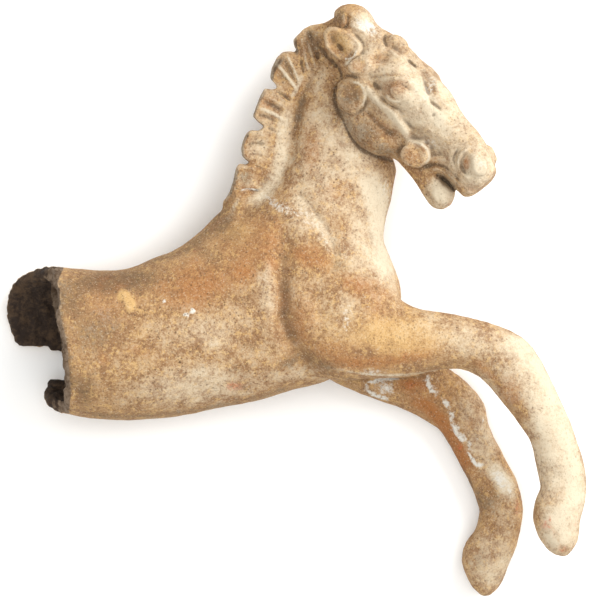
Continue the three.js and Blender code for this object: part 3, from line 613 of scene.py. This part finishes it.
class StageLights(bpy.types.PropertyGroup):
    """Light of the studio."""
    key: bpy.props.FloatProperty(
        name="Key", description="Power of the large light on the right", default=26.0, min=0.0, unit="POWER")
    fill: bpy.props.FloatProperty(
        name="Fill", description="Power of the large light overhead", default=16.0, min=0.0, unit="POWER")
    air: bpy.props.FloatProperty(
        name="Air", description="Light that comes from all round", default=0.7, min=0.0, max=4.0)


def plan(points):
    """Lay points of the photograph over the floor, in millimetres."""
    spots = np.array(points, dtype=float)
    across = (spots[:, 0] - PHOTO_CENTRE[0]) * PIXEL_MM
    up = (PHOTO_CENTRE[1] - spots[:, 1]) * PIXEL_MM
    return np.stack([across, up], axis=1)


def smooth_line(points, steps=5):
    """A curve through the points, as short straight pieces."""
    if len(points) < 3:
        return points
    padded = np.vstack([2 * points[0] - points[1], points, 2 * points[-1] - points[-2]])
    line = []
    for first in range(len(points) - 1):
        before, start, end, after = padded[first:first + 4]
        for step in range(steps):
            part = step / steps
            line.append(0.5 * (2 * start + (end - before) * part
                               + (2 * before - 5 * start + 4 * end - after) * part ** 2
                               + (3 * start - before - 3 * end + after) * part ** 3))
    line.append(points[-1])
    return np.array(line)


def nearest_on(line, spots):
    """How far each spot is from a line, and how far the nearest place on it is from the line's ends."""
    gaps = np.full(len(spots), 1e9)
    places = np.zeros(len(spots))
    travelled = 0.0
    for start, end in zip(line[:-1], line[1:]):
        step = end - start
        length = float(np.hypot(*step))
        if length < 1e-9:
            continue
        part = np.clip(((spots - start) @ step) / length ** 2, 0, 1)
        away = spots - start - part[:, None] * step
        gap = np.hypot(away[:, 0], away[:, 1])
        closer = gap < gaps
        gaps[closer] = gap[closer]
        places[closer] = travelled + part[closer] * length
        travelled += length
    return gaps, np.minimum(places, travelled - places)


def soft_step(values, low, high):
    """Rise smoothly from nothing at low to one at high."""
    part = np.clip((values - low) / (high - low), 0, 1)
    return part * part * (3 - 2 * part)


def near_box(spots, line, margin):
    """Which spots lie in the box around a line."""
    low = line.min(axis=0) - margin
    high = line.max(axis=0) + margin
    return np.flatnonzero(np.all((spots > low) & (spots < high), axis=1))


def stroke(spots, points, width, strength, sharp=2.0):
    """A soft line's strength at each spot: full on the line and gone two widths away, thin at its ends."""
    line = smooth_line(plan(points))
    reach = width * 2.6
    chosen = near_box(spots, line, reach)
    gaps, ends = nearest_on(line, spots[chosen])
    values = np.exp(-(gaps / width) ** sharp)
    closed = np.hypot(*(line[0] - line[-1])) < 0.01
    if not closed:
        values *= 0.35 + 0.65 * soft_step(ends, 0, 2.2 * width)
    total = np.zeros(len(spots))
    total[chosen] = values * strength
    return total


def spot(spots, middle, radii, turn, strength, sharp=4.0):
    """A soft round mark's strength at each spot. The sizes are in pixels of the photograph."""
    centre = plan([middle])[0]
    away = spots - centre
    angle = math.radians(turn)
    along = (away[:, 0] * math.cos(angle) + away[:, 1] * math.sin(angle)) / (radii[0] * PIXEL_MM)
    across = (away[:, 1] * math.cos(angle) - away[:, 0] * math.sin(angle)) / (radii[1] * PIXEL_MM)
    return strength * np.exp(-np.hypot(along, across) ** sharp)


def within(spots, outline):
    """Which spots lie inside an outline."""
    inside = np.zeros(len(spots), dtype=bool)
    for start, end in zip(outline, np.roll(outline, -1, axis=0)):
        crosses = (start[1] > spots[:, 1]) != (end[1] > spots[:, 1])
        rise = end[1] - start[1]
        if abs(rise) < 1e-9:
            continue
        meets = start[0] + (spots[:, 1] - start[1]) * (end[0] - start[0]) / rise
        inside ^= crosses & (spots[:, 0] < meets)
    return inside


def noise_at(places, size, seed):
    """Smooth noise at each place, about as coarse as size, from minus one to one."""
    shift = Vector((seed * 17.3, seed * 5.1, seed * 9.7))
    scaled = places / size
    return np.array([noise.noise(Vector(place) + shift) for place in scaled])


class Clay:
    """The surface as arrays, in millimetres: its points, their neighbours and the way they face."""

    def __init__(self, mesh):
        count = len(mesh.vertices)
        flat = np.empty(count * 3)
        mesh.vertices.foreach_get("co", flat)
        self.points = flat.reshape(-1, 3) / 0.001
        pairs = np.empty(len(mesh.edges) * 2, dtype=np.int64)
        mesh.edges.foreach_get("vertices", pairs)
        pairs = pairs.reshape(-1, 2)
        self.starts = np.concatenate([pairs[:, 0], pairs[:, 1]])
        self.ends = np.concatenate([pairs[:, 1], pairs[:, 0]])
        self.degree = np.maximum(np.bincount(self.starts, minlength=count), 1)
        mesh.calc_loop_triangles()
        corners = np.empty(len(mesh.loop_triangles) * 3, dtype=np.int64)
        mesh.loop_triangles.foreach_get("vertices", corners)
        self.triangles = corners.reshape(-1, 3)
        self.find_normals()

    def find_normals(self):
        """Work out which way each point faces."""
        first, second, third = (self.points[self.triangles[:, corner]] for corner in range(3))
        faces = np.cross(second - first, third - first)
        normals = np.zeros_like(self.points)
        for corner in range(3):
            for axis in range(3):
                normals[:, axis] += np.bincount(
                    self.triangles[:, corner], faces[:, axis], minlength=len(normals))
        lengths = np.maximum(np.linalg.norm(normals, axis=1), 1e-12)
        self.normals = normals / lengths[:, None]

    def spread(self, values):
        """The mean of each point's neighbours."""
        count = len(self.points)
        if values.ndim == 1:
            return np.bincount(self.starts, values[self.ends], minlength=count) / self.degree
        return np.stack([self.spread(values[:, axis]) for axis in range(values.shape[1])], axis=1)

    def smooth(self, rounds, weight):
        """Take the facets off without shrinking the shape. The weight says where."""
        for _ in range(rounds):
            for pull in (0.6, -0.62):
                self.points += pull * weight[:, None] * (self.spread(self.points) - self.points)

    def blur(self, values, rounds):
        """Spread values over the surface."""
        for _ in range(rounds):
            values = 0.5 * values + 0.5 * self.spread(values)
        return values

    def hollows(self, rounds):
        """How far each point lies below its surroundings, in millimetres. On a ridge it is below nothing."""
        around = self.points
        for _ in range(rounds):
            around = 0.4 * around + 0.6 * self.spread(around)
        return np.einsum("ij,ij->i", around - self.points, self.normals)


def showing(clay):
    """One where the surface faces up, and nothing where it faces down."""
    return soft_step(clay.normals[:, 2], -0.05, 0.35)


def inner_side(clay):
    """One on the wall of the hollow, and nothing on the outside."""
    line = np.array(HOLLOW_LINE, dtype=float)
    spots = clay.points[:, :2]
    gaps = np.full(len(spots), 1e9)
    centres = np.zeros_like(spots)
    for start, end in zip(line[:-1], line[1:]):
        step = end - start
        part = np.clip(((spots - start) @ step) / (step @ step), 0, 1)
        places = start + part[:, None] * step
        gap = np.hypot(*(spots - places).T)
        closer = gap < gaps
        gaps[closer] = gap[closer]
        centres[closer] = places[closer]
    towards = np.column_stack([centres - spots, HOLLOW_LEVEL - clay.points[:, 2]])
    towards /= np.maximum(np.linalg.norm(towards, axis=1), 1e-9)[:, None]
    facing = np.einsum("ij,ij->i", towards, clay.normals)
    within_hollow = (gaps < HOLLOW_REACH) & (spots[:, 0] < HOLLOW_END[0]) & (spots[:, 1] < HOLLOW_END[1])
    return soft_step(facing, 0.0, 0.4) * within_hollow


def near_break(clay):
    """One on the broken edge and nothing a few millimetres from it."""
    gaps, _ = nearest_on(smooth_line(plan(BREAK_EDGE)), clay.points[:, :2])
    areas = np.zeros(len(clay.points))
    for outline in BREAK_AREAS:
        areas[within(clay.points[:, :2], plan(outline))] = 1
    return np.maximum(1 - soft_step(gaps, 0.5, 3.0), areas)


def broken_face(clay):
    """One on the rough end of the wall, where it faces back, and less on the darker end of the far wall."""
    gaps, _ = nearest_on(smooth_line(plan(BREAK_EDGE)), clay.points[:, :2])
    back = soft_step(-clay.normals[:, 0], 0.25, 0.7)
    near = 1 - soft_step(gaps, 2.0, 7.0)
    strip = 1 - soft_step(gaps, 1.0, 2.0)
    return np.maximum(back * (0.25 + 0.75 * near), strip) * (clay.points[:, 0] < RIM_REACH)


def shaded_inside_areas(clay):
    """One on the inside that the break lays open, where its shade is painted."""
    areas = np.zeros(len(clay.points))
    for outline in BREAK_AREAS:
        areas[within(clay.points[:, :2], plan(outline))] = 1
    return areas


def ease_outline(clay):
    """Move the outline by the last millimetre to where the photograph has it."""
    for middle, radii, step, (low, high) in EASED.values():
        heights = clay.points[:, 2]
        share = soft_step(heights, low - 3, low + 3) * (1 - soft_step(heights, high - 3, high + 3))
        share *= spot(clay.points[:, :2], middle, radii, 0, 1.0, 2.0)
        clay.points[:, :2] += share[:, None] * np.array(step)


def carve_lines(clay, lines, marks, depth):
    """Carve lines and marks into the side that shows."""
    spots = clay.points[:, :2]
    rise = np.zeros(len(spots))
    for points, width, height in lines.values():
        rise += stroke(spots, points, width, height)
    for middle, radii, turn, height in marks.values():
        rise += spot(spots, middle, radii, turn, height)
    clay.points[:, 2] += rise * depth * showing(clay)


def roughen(clay, height, inside):
    """Leave the unevenness of hand-pressed clay, and the crumbled edge and inside of the break."""
    lumps = noise_at(clay.points, 16, 1) + 0.55 * noise_at(clay.points, 6.5, 2)
    small = noise_at(clay.points, 2.6, 3)
    broken = near_break(clay) * (clay.points[:, 0] < -96)
    crumbs = noise_at(clay.points, 1.7, 4)
    move = height * (lumps + 0.28 * small)
    move += 0.35 * inside * (lumps + small)
    move += 0.45 * broken * (small + 0.7 * crumbs)
    clay.points += clay.normals * move[:, None]


def keep_inside(clay):
    """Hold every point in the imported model's box."""
    low, high = (np.array(corner) / 0.001 for corner in CAD_BOX)
    clay.points = np.clip(clay.points, low, high)


def hold_in_box(mesh):
    """Hold a finished mesh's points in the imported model's box."""
    flat = np.empty(len(mesh.vertices) * 3)
    mesh.vertices.foreach_get("co", flat)
    held = np.clip(flat.reshape(-1, 3), CAD_BOX[0], CAD_BOX[1])
    mesh.vertices.foreach_set("co", held.ravel())
    mesh.update()


def layer(clay, strokes, spots_list):
    """One colour's strength at each point of the side that shows."""
    spots = clay.points[:, :2]
    total = np.zeros(len(spots))
    for points, width, strength in strokes:
        total = np.maximum(total, stroke(spots, points, width * PIXEL_MM, strength, 3.0))
    for middle, radii, turn, strength in spots_list:
        total = np.maximum(total, spot(spots, middle, radii, turn, strength, 3.0))
    return total


def paint(clay, mesh, inside):
    """Store where each colour lies on the clay."""
    shown = showing(clay)
    hidden = (1 - shown) * (0.25 + 0.3 * noise_at(clay.points, 22, 7))
    ochre = layer(clay, OCHRE_STROKES, OCHRE_SPOTS)
    # The umber layer is mostly painted shade, with dark marks of the clay; sides that face down get a little umber
    # too.
    umber_and_shade = layer(clay, SHADE_AND_UMBER_STROKES, SHADE_AND_UMBER_SPOTS)
    layers = {
        "slip": layer(clay, SLIP_STROKES, SLIP_SPOTS) * (1 - 0.75 * np.maximum(ochre, umber_and_shade)) * shown + hidden,
        "chalk": layer(clay, CHALK_STROKES, CHALK_SPOTS) * shown,
        "ochre": ochre * shown + 0.3 * hidden,
        "umber_and_shade": umber_and_shade * shown + 0.3 * (1 - shown),
        "blush": layer(clay, [], BLUSH_SPOTS) * shown,
        "sand": layer(clay, [], SAND_SPOTS) * shown,
        # Painted shade on the hollow's inside walls and where the break lays the inside open.
        "inside_shade": np.maximum(inside, shaded_inside_areas(clay) * shown),
        "rim": broken_face(clay),
        # How far each point lies in a hollow or dip, or stands on a ridge: the material darkens hollows with painted
        # shade and grime, and pales ridges.
        "hollow": np.clip(clay.blur(clay.hollows(5), 2) / 0.22, -1, 1),
        "dip": np.clip(clay.hollows(26) / 1.0, -1, 1),
    }
    for name, values in layers.items():
        attribute = mesh.attributes.new(name, "FLOAT", "POINT")
        attribute.data.foreach_set("value", values.astype(np.float32))


def merged_copy(node):
    """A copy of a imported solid's mesh with its loose triangles joined."""
    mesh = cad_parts[node].data.copy()
    work = bmesh.new()
    work.from_mesh(mesh)
    bmesh.ops.remove_doubles(work, verts=work.verts, dist=1e-6)
    work.to_mesh(mesh)
    work.free()
    mesh.materials.clear()
    return mesh


def slab(name, outline, bottom, top, rounding):
    """An upright slab over an outline in millimetres, its edges rounded."""
    work = bmesh.new()
    corners = [work.verts.new((x * MM, y * MM, bottom * MM)) for x, y in outline]
    face = work.faces.new(corners)
    lifted = bmesh.ops.extrude_face_region(work, geom=[face])["geom"]
    raised = [item for item in lifted if isinstance(item, bmesh.types.BMVert)]
    bmesh.ops.translate(work, verts=raised, vec=(0, 0, (top - bottom) * MM))
    bmesh.ops.recalc_face_normals(work, faces=work.faces)
    if rounding:
        rims = [edge for edge in work.edges if abs(edge.verts[0].co.z - edge.verts[1].co.z) < 1e-6]
        bmesh.ops.bevel(work, geom=rims, offset=rounding * MM, segments=3, profile=0.5,
                        affect="EDGES", material=-1, clamp_overlap=True)
    mesh = bpy.data.meshes.new(name)
    work.to_mesh(mesh)
    work.free()
    tool = bpy.data.objects.new(name, mesh)
    bpy.context.scene.collection.objects.link(tool)
    return tool


def drop(tool):
    """Throw away a tool that has done its work."""
    mesh = tool.data
    bpy.data.objects.remove(tool)
    bpy.data.meshes.remove(mesh)


def join_in(piece, tool):
    """Add a tool's faces to a piece's mesh."""
    work = bmesh.new()
    work.from_mesh(piece.data)
    work.from_mesh(tool.data)
    work.to_mesh(piece.data)
    work.free()
    drop(tool)


def recut_mane(piece):
    """Cut the mane's notches sharply and give its locks their flat thickness."""
    edge = plan(MANE_EDGE)
    away = slab("mane_outside", np.vstack([edge, plan(MANE_OUTSIDE)]), -20, 90, 0)
    with_modifier(piece, "BOOLEAN", object=away, operation="DIFFERENCE", solver="EXACT")
    drop(away)
    join_in(piece, slab("mane_locks", np.vstack([edge, plan(MANE_ROOT)]), MANE_BOTTOM, MANE_TOP, 0.7))


def knob_places(piece):
    """Return where each knob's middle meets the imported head, in metres."""
    bpy.context.view_layer.update()
    places = {}
    for name, (middle, _, _, _, _) in KNOBS.items():
        x, y = plan([middle])[0] * MM
        hit, place, _, _ = piece.ray_cast(Vector((x, y, 0.2)), Vector((0, 0, -1)))
        if not hit:
            raise RuntimeError(f"the head has nothing under {name}")
        places[name] = place
    return places


def add_knobs(piece):
    """Set the head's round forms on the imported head, as flattened balls."""
    places = knob_places(piece)
    for name, (_, radii, turn, thickness, lift) in KNOBS.items():
        place = places[name] + Vector((0, 0, lift * MM))
        sizes = (radii[0] * PIXEL_MM * MM, radii[1] * PIXEL_MM * MM, thickness * MM)
        shape = Matrix.LocRotScale(place, Euler((0, 0, math.radians(turn))), sizes)
        work = bmesh.new()
        bmesh.ops.create_uvsphere(work, u_segments=32, v_segments=16, radius=1.0, matrix=shape)
        mesh = bpy.data.meshes.new(name)
        work.to_mesh(mesh)
        work.free()
        tool = bpy.data.objects.new(name, mesh)
        join_in(piece, tool)


def with_modifier(piece, kind, **values):
    """Apply one modifier to a piece at once."""
    modifier = piece.modifiers.new(kind.title(), kind)
    for name, value in values.items():
        setattr(modifier, name, value)
    graph = bpy.context.evaluated_depsgraph_get()
    mesh = bpy.data.meshes.new_from_object(piece.evaluated_get(graph))
    piece.modifiers.clear()
    old = piece.data
    piece.data = mesh
    bpy.data.meshes.remove(old)
    return mesh


def store_points(clay, mesh):
    """Put the moved points back into the mesh, in metres."""
    mesh.vertices.foreach_set("co", (clay.points * 0.001).ravel())
    mesh.update()


def fine_places(clay):
    """One on the head, the mane and the break, where the mesh stays finest."""
    x, y = clay.points[:, 0], clay.points[:, 1]
    head = soft_step(y - 26 + 0.25 * (x - 20), 0, 12) * soft_step(x, -30, -20)
    upper = 0.35 + 0.65 * showing(clay)
    return np.clip(np.maximum(head, near_break(clay) * (x < -96)) * upper, 0, 1)


def thin_out(piece, clay, most):
    """Bring the mesh under its number of triangles, mostly away from the carving."""
    group = piece.vertex_groups.new(name="coarse")
    weights = 1 - 0.85 * fine_places(clay)
    steps = np.round(weights * 20).astype(int)
    for step in range(21):
        chosen = np.flatnonzero(steps == step).tolist()
        if chosen:
            group.add(chosen, step / 20, "REPLACE")
    count = len(clay.triangles)
    if count > most:
        with_modifier(piece, "DECIMATE", ratio=most / count, vertex_group="coarse",
                      vertex_group_factor=1.0, use_collapse_triangulate=True)
    piece.vertex_groups.clear()


def linear(shade):
    """A colour as light adds it up, from the colour as the eye reads it."""
    return [part / 12.92 if part <= 0.04045 else ((part + 0.055) / 1.055) ** 2.4 for part in shade] + [1.0]


class Nodes:
    """Short names for building one material's nodes."""

    def __init__(self, name):
        self.material = bpy.data.materials.new(name)
        self.material.use_nodes = True
        self.tree = self.material.node_tree
        self.shader = self.tree.nodes["Principled BSDF"]
        self.place = self.tree.nodes.new("ShaderNodeTexCoord").outputs["Object"]

    def link(self, source, target):
        """Join two sockets, or set the target where the source is a plain value."""
        if hasattr(source, "is_output"):
            self.tree.links.new(source, target)
        else:
            target.default_value = source

    def noise(self, size, detail=3.0, roughness=0.55, seed=0.0):
        """Noise as coarse as size in metres, from nothing to one."""
        node = self.tree.nodes.new("ShaderNodeTexNoise")
        node.noise_dimensions = "4D"
        node.inputs["W"].default_value = seed
        node.inputs["Scale"].default_value = 1 / size
        node.inputs["Detail"].default_value = detail
        node.inputs["Roughness"].default_value = roughness
        self.link(self.place, node.inputs["Vector"])
        return node.outputs["Fac"]

    def dots(self, size, radius):
        """Round dots, one to a cell as large as size in metres, with the radius as a part of the cell."""
        node = self.tree.nodes.new("ShaderNodeTexVoronoi")
        node.inputs["Scale"].default_value = 1 / size
        self.link(self.place, node.inputs["Vector"])
        return self.ramp(node.outputs["Distance"], radius * 1.6, radius * 0.6)

    def attribute(self, name):
        """What was stored at each point under a name."""
        node = self.tree.nodes.new("ShaderNodeAttribute")
        node.attribute_name = name
        return node.outputs["Fac"]

    def sum(self, first, second, kind="ADD"):
        """Two numbers put together."""
        node = self.tree.nodes.new("ShaderNodeMath")
        node.operation = kind
        self.link(first, node.inputs[0])
        self.link(second, node.inputs[1])
        return node.outputs[0]

    def ramp(self, value, low, high, bottom=0.0, top=1.0):
        """Carry a number smoothly from one span to another."""
        node = self.tree.nodes.new("ShaderNodeMapRange")
        node.interpolation_type = "SMOOTHSTEP"
        for name, number in (("From Min", low), ("From Max", high), ("To Min", bottom), ("To Max", top)):
            node.inputs[name].default_value = number
        self.link(value, node.inputs["Value"])
        return node.outputs["Result"]

    def mix(self, amount, first, second, kind="MIX"):
        """Lay the second colour over the first."""
        node = self.tree.nodes.new("ShaderNodeMix")
        node.data_type = "RGBA"
        node.blend_type = kind
        self.link(amount, node.inputs["Factor"])
        self.link(first, node.inputs[6])
        self.link(second, node.inputs[7])
        return node.outputs[2]

    def patch(self, name, texture, spread, low=0.4, high=0.62):
        """Where a stored colour shows, with its edge broken up by a texture."""
        wander = self.sum(self.sum(texture, -0.5), spread, "MULTIPLY")
        return self.ramp(self.sum(self.attribute(name), wander), low, high)


def clay_material(colours):
    """Fired clay with worn slip, grime and painted shade in its hollows, painted highlights on some rims, and dark
    specks.
    """
    nodes = Nodes("fired_clay")
    shade = {name: linear(getattr(colours, name)) for name in
             ("clay", "brown", "umber_and_shade", "ochre", "slip", "chalk", "blush", "sand", "inside_shade", "rim")}
    wide = nodes.noise(0.026, 4.0, 0.6, 1.0)
    middle = nodes.noise(0.0068, 5.0, 0.66, 2.0)
    close = nodes.noise(0.0015, 4.0, 0.7, 3.0)
    grain = nodes.noise(0.0007, 3.0, 0.7, 4.0)
    pale = nodes.noise(0.0026, 5.0, 0.75, 5.0)
    mottle = nodes.sum(nodes.sum(middle, 0.55, "MULTIPLY"), nodes.sum(close, 0.45, "MULTIPLY"))
    colour = nodes.mix(nodes.ramp(mottle, 0.42, 0.55), shade["brown"], shade["clay"])
    colour = nodes.mix(nodes.ramp(pale, 0.50, 0.62, 0.0, 0.8), colour, shade["sand"])
    colour = nodes.mix(nodes.patch("umber_and_shade", mottle, 1.8, 0.15, 0.85), colour, shade["umber_and_shade"])
    colour = nodes.mix(nodes.patch("ochre", middle, 1.2, 0.1, 0.9), colour, shade["ochre"])
    colour = nodes.mix(nodes.patch("sand", middle, 0.9, 0.2, 0.75), colour, shade["sand"])
    slip = nodes.patch("slip", mottle, 1.7, 0.1, 0.9)
    colour = nodes.mix(slip, colour, shade["slip"])
    colour = nodes.mix(nodes.patch("chalk", close, 1.3, 0.3, 0.75), colour, shade["chalk"])
    colour = nodes.mix(nodes.patch("blush", close, 1.4, 0.35, 1.0), colour, shade["blush"])
    # Darker in small hollows and broad dips: painted shade together with grime; paler on ridges.
    below = nodes.sum(nodes.attribute("hollow"), nodes.sum(nodes.sum(close, -0.5), 0.9, "MULTIPLY"))
    colour = nodes.mix(nodes.ramp(below, 0.15, 1.0, 0.0, 0.5), colour, shade["umber_and_shade"])
    colour = nodes.mix(nodes.ramp(nodes.attribute("dip"), 0.04, 0.8, 0.0, 0.55), colour, shade["umber_and_shade"])
    colour = nodes.mix(nodes.ramp(nodes.attribute("hollow"), -0.25, -1.0, 0.0, 0.3), colour, shade["slip"])
    bare = nodes.ramp(slip, 0.2, 1.0, 1.0, 0.4)
    specks = nodes.sum(nodes.ramp(grain, 0.53, 0.66, 0.0, 0.55), bare, "MULTIPLY")
    colour = nodes.mix(specks, colour, shade["umber_and_shade"])
    colour = nodes.mix(nodes.ramp(grain, 0.46, 0.32, 0.0, 0.42), colour, shade["slip"])
    dots = nodes.dots(0.0021, 0.17)
    dotted = nodes.sum(dots, nodes.ramp(wide, 0.42, 0.56, 0.1, 0.55), "MULTIPLY")
    colour = nodes.mix(nodes.sum(dotted, bare, "MULTIPLY"), colour, shade["umber_and_shade"])
    # Painted shade inside the hollow, mottled with umber.
    inside = nodes.mix(nodes.ramp(mottle, 0.44, 0.60, 0.0, 0.75), shade["inside_shade"], shade["umber_and_shade"])
    colour = nodes.mix(nodes.patch("inside_shade", close, 0.4, 0.4, 0.7), colour, inside)
    rim = nodes.mix(nodes.ramp(mottle, 0.42, 0.58), shade["umber_and_shade"], shade["rim"])
    colour = nodes.mix(nodes.patch("rim", close, 0.8, 0.3, 0.8), colour, rim)
    nodes.link(colour, nodes.shader.inputs["Base Color"])
    nodes.link(nodes.ramp(middle, 0.3, 0.7, 0.8, 0.95), nodes.shader.inputs["Roughness"])
    nodes.shader.inputs["Specular IOR Level"].default_value = 0.25
    bump = nodes.tree.nodes.new("ShaderNodeBump")
    bump.inputs["Strength"].default_value = 0.7
    bump.inputs["Distance"].default_value = 0.0008
    height = nodes.sum(nodes.sum(close, 0.6, "MULTIPLY"), nodes.sum(grain, 0.4, "MULTIPLY"))
    height = nodes.sum(height, nodes.sum(dots, -0.25, "MULTIPLY"))
    nodes.link(height, bump.inputs["Height"])
    nodes.link(bump.outputs["Normal"], nodes.shader.inputs["Normal"])
    return nodes.material


def head_places(clay):
    """One on the head and mane, where less is smoothed away."""
    x, y = clay.points[:, 0], clay.points[:, 1]
    head = soft_step(y - 34 + 0.35 * (x - 10), 0, 14) * soft_step(x, 10, 18)
    gaps, _ = nearest_on(plan(MANE_EDGE), clay.points[:, :2])
    return np.maximum(0.75 * head, 1 - soft_step(gaps, 4, 9))


def blend_steps(clay):
    """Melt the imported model's steps into the forms around them, on the side that shows."""
    places = np.zeros(len(clay.points))
    for points, width in BLENDED:
        places = np.maximum(places, stroke(clay.points[:, :2], points, width, 1.0, 3.0))
    places *= soft_step(clay.points[:, 2], 15, 22)
    for _ in range(45):
        clay.points += 0.6 * places[:, None] * (clay.spread(clay.points) - clay.points)


def make_horse(settings, colours):
    """The whole figure: one piece of clay."""
    piece = bpy.data.objects.new(PIECE, merged_copy(NODE))
    bpy.context.scene.collection.objects.link(piece)
    recut_mane(piece)
    add_knobs(piece)
    mesh = with_modifier(piece, "REMESH", mode="VOXEL", voxel_size=settings.grain, adaptivity=0.0)
    clay = Clay(mesh)
    clay.smooth(16, 1 - head_places(clay))
    clay.smooth(4, np.ones(len(clay.points)))
    blend_steps(clay)
    ease_outline(clay)
    clay.find_normals()
    inside = inner_side(clay)
    carve_lines(clay, BODY_LINES, BODY_MARKS, settings.relief * BODY_DEPTH)
    carve_lines(clay, HEAD_LINES, HEAD_MARKS, settings.relief * HEAD_DEPTH)
    clay.find_normals()
    roughen(clay, settings.unevenness / 0.001, inside)
    keep_inside(clay)
    clay.find_normals()
    store_points(clay, mesh)
    paint(clay, mesh, inside)
    thin_out(piece, clay, settings.most_triangles)
    hold_in_box(piece.data)
    piece.data.name = PIECE
    piece.data.shade_smooth()
    piece.data.materials.clear()
    piece.data.materials.append(clay_material(colours))
    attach(piece, BODY)
    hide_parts(NODE)
    return piece


def plain_material(name, shade):
    """A plain matt finish for the studio."""
    nodes = Nodes(name)
    nodes.shader.inputs["Base Color"].default_value = shade
    nodes.shader.inputs["Roughness"].default_value = 0.9
    nodes.shader.inputs["Specular IOR Level"].default_value = 0.1
    return nodes.material


def make_floor():
    """A pale sheet that the figure lies on."""
    work = bmesh.new()
    bmesh.ops.create_grid(work, x_segments=1, y_segments=1, size=3.0)
    mesh = bpy.data.meshes.new("floor")
    work.to_mesh(mesh)
    work.free()
    floor = bpy.data.objects.new("floor", mesh)
    bpy.context.scene.collection.objects.link(floor)
    mesh.materials.append(plain_material("pale_floor", (0.95, 0.95, 0.94, 1.0)))


def make_light(name, place, size, power):
    """A square soft light that faces the figure."""
    lamp = bpy.data.lights.new(name, "AREA")
    lamp.energy = power
    lamp.size = size
    light = bpy.data.objects.new(name, lamp)
    light.location = place
    light.rotation_euler = Vector(place).to_track_quat("Z", "Y").to_euler()
    bpy.context.scene.collection.objects.link(light)


def make_camera():
    """The photograph's view: straight down, from far enough that nothing leans."""
    lens = bpy.data.cameras.new("camera")
    lens.sensor_width = SENSOR
    lens.lens = SENSOR * (CAMERA_HEIGHT - MIDDLE_HEIGHT) / (PHOTO_LONG_SIDE * PIXEL_MM * MM)
    lens.clip_end = 20.0
    camera = bpy.data.objects.new("camera", lens)
    across = (PHOTO_MIDDLE[0] - PHOTO_CENTRE[0]) * PIXEL_MM * MM
    camera.location = (across, 0.0, CAMERA_HEIGHT)
    bpy.context.scene.collection.objects.link(camera)
    bpy.context.scene.camera = camera


def make_stage(lights):
    """Floor, soft lights and camera."""
    make_floor()
    make_light("key", (1.0, 0.62, 0.86), 1.2, lights.key)
    make_light("fill", (0.0, -0.25, 1.6), 1.6, lights.fill)
    world = bpy.data.worlds.new("studio_air")
    world.use_nodes = True
    world.node_tree.nodes["Background"].inputs["Color"].default_value = (1.0, 0.99, 0.97, 1.0)
    world.node_tree.nodes["Background"].inputs["Strength"].default_value = lights.air
    bpy.context.scene.world = world
    bpy.context.scene.view_settings.view_transform = "Standard"
    make_camera()


class CLAYHORSE_OT_figure(bpy.types.Operator):
    """Carve, roughen and colour the clay figure"""
    bl_idname = "clayhorse.figure"
    bl_label = "Clay figure"

    def execute(self, context):
        make_horse(context.scene.clay_sizes, context.scene.clay_colours)
        return {"FINISHED"}


class CLAYHORSE_OT_stage(bpy.types.Operator):
    """Lay out the floor, the lights and the camera"""
    bl_idname = "clayhorse.stage"
    bl_label = "Stage"

    def execute(self, context):
        make_stage(context.scene.stage_lights)
        return {"FINISHED"}


class CLAYHORSE_PT_panel(bpy.types.Panel):
    """The figure's sizes, colours and steps"""
    bl_idname = "CLAYHORSE_PT_panel"
    bl_label = "Clay horse"
    bl_space_type = "VIEW_3D"
    bl_region_type = "UI"
    bl_category = "Clay horse"

    def draw(self, context):
        for group in (context.scene.clay_sizes, context.scene.clay_colours, context.scene.stage_lights):
            box = self.layout.box()
            for name in group.__annotations__:
                box.prop(group, name)
        self.layout.operator(CLAYHORSE_OT_figure.bl_idname)
        self.layout.operator(CLAYHORSE_OT_stage.bl_idname)


CLASSES = (ClaySizes, ClayColours, StageLights, CLAYHORSE_OT_figure, CLAYHORSE_OT_stage, CLAYHORSE_PT_panel)


def register():
    """Make the settings, steps and panel known."""
    for each in CLASSES:
        bpy.utils.register_class(each)
    bpy.types.Scene.clay_sizes = bpy.props.PointerProperty(type=ClaySizes)
    bpy.types.Scene.clay_colours = bpy.props.PointerProperty(type=ClayColours)
    bpy.types.Scene.stage_lights = bpy.props.PointerProperty(type=StageLights)


def unregister():
    """Take the settings, steps and panel away again."""
    for name in ("stage_lights", "clay_colours", "clay_sizes"):
        delattr(bpy.types.Scene, name)
    for each in reversed(CLASSES):
        bpy.utils.unregister_class(each)


def main():
    """Dress the figure and lay out the stage."""
    register()
    bpy.ops.clayhorse.figure()
    bpy.ops.clayhorse.stage()


if __name__ == "__main__":
    main()
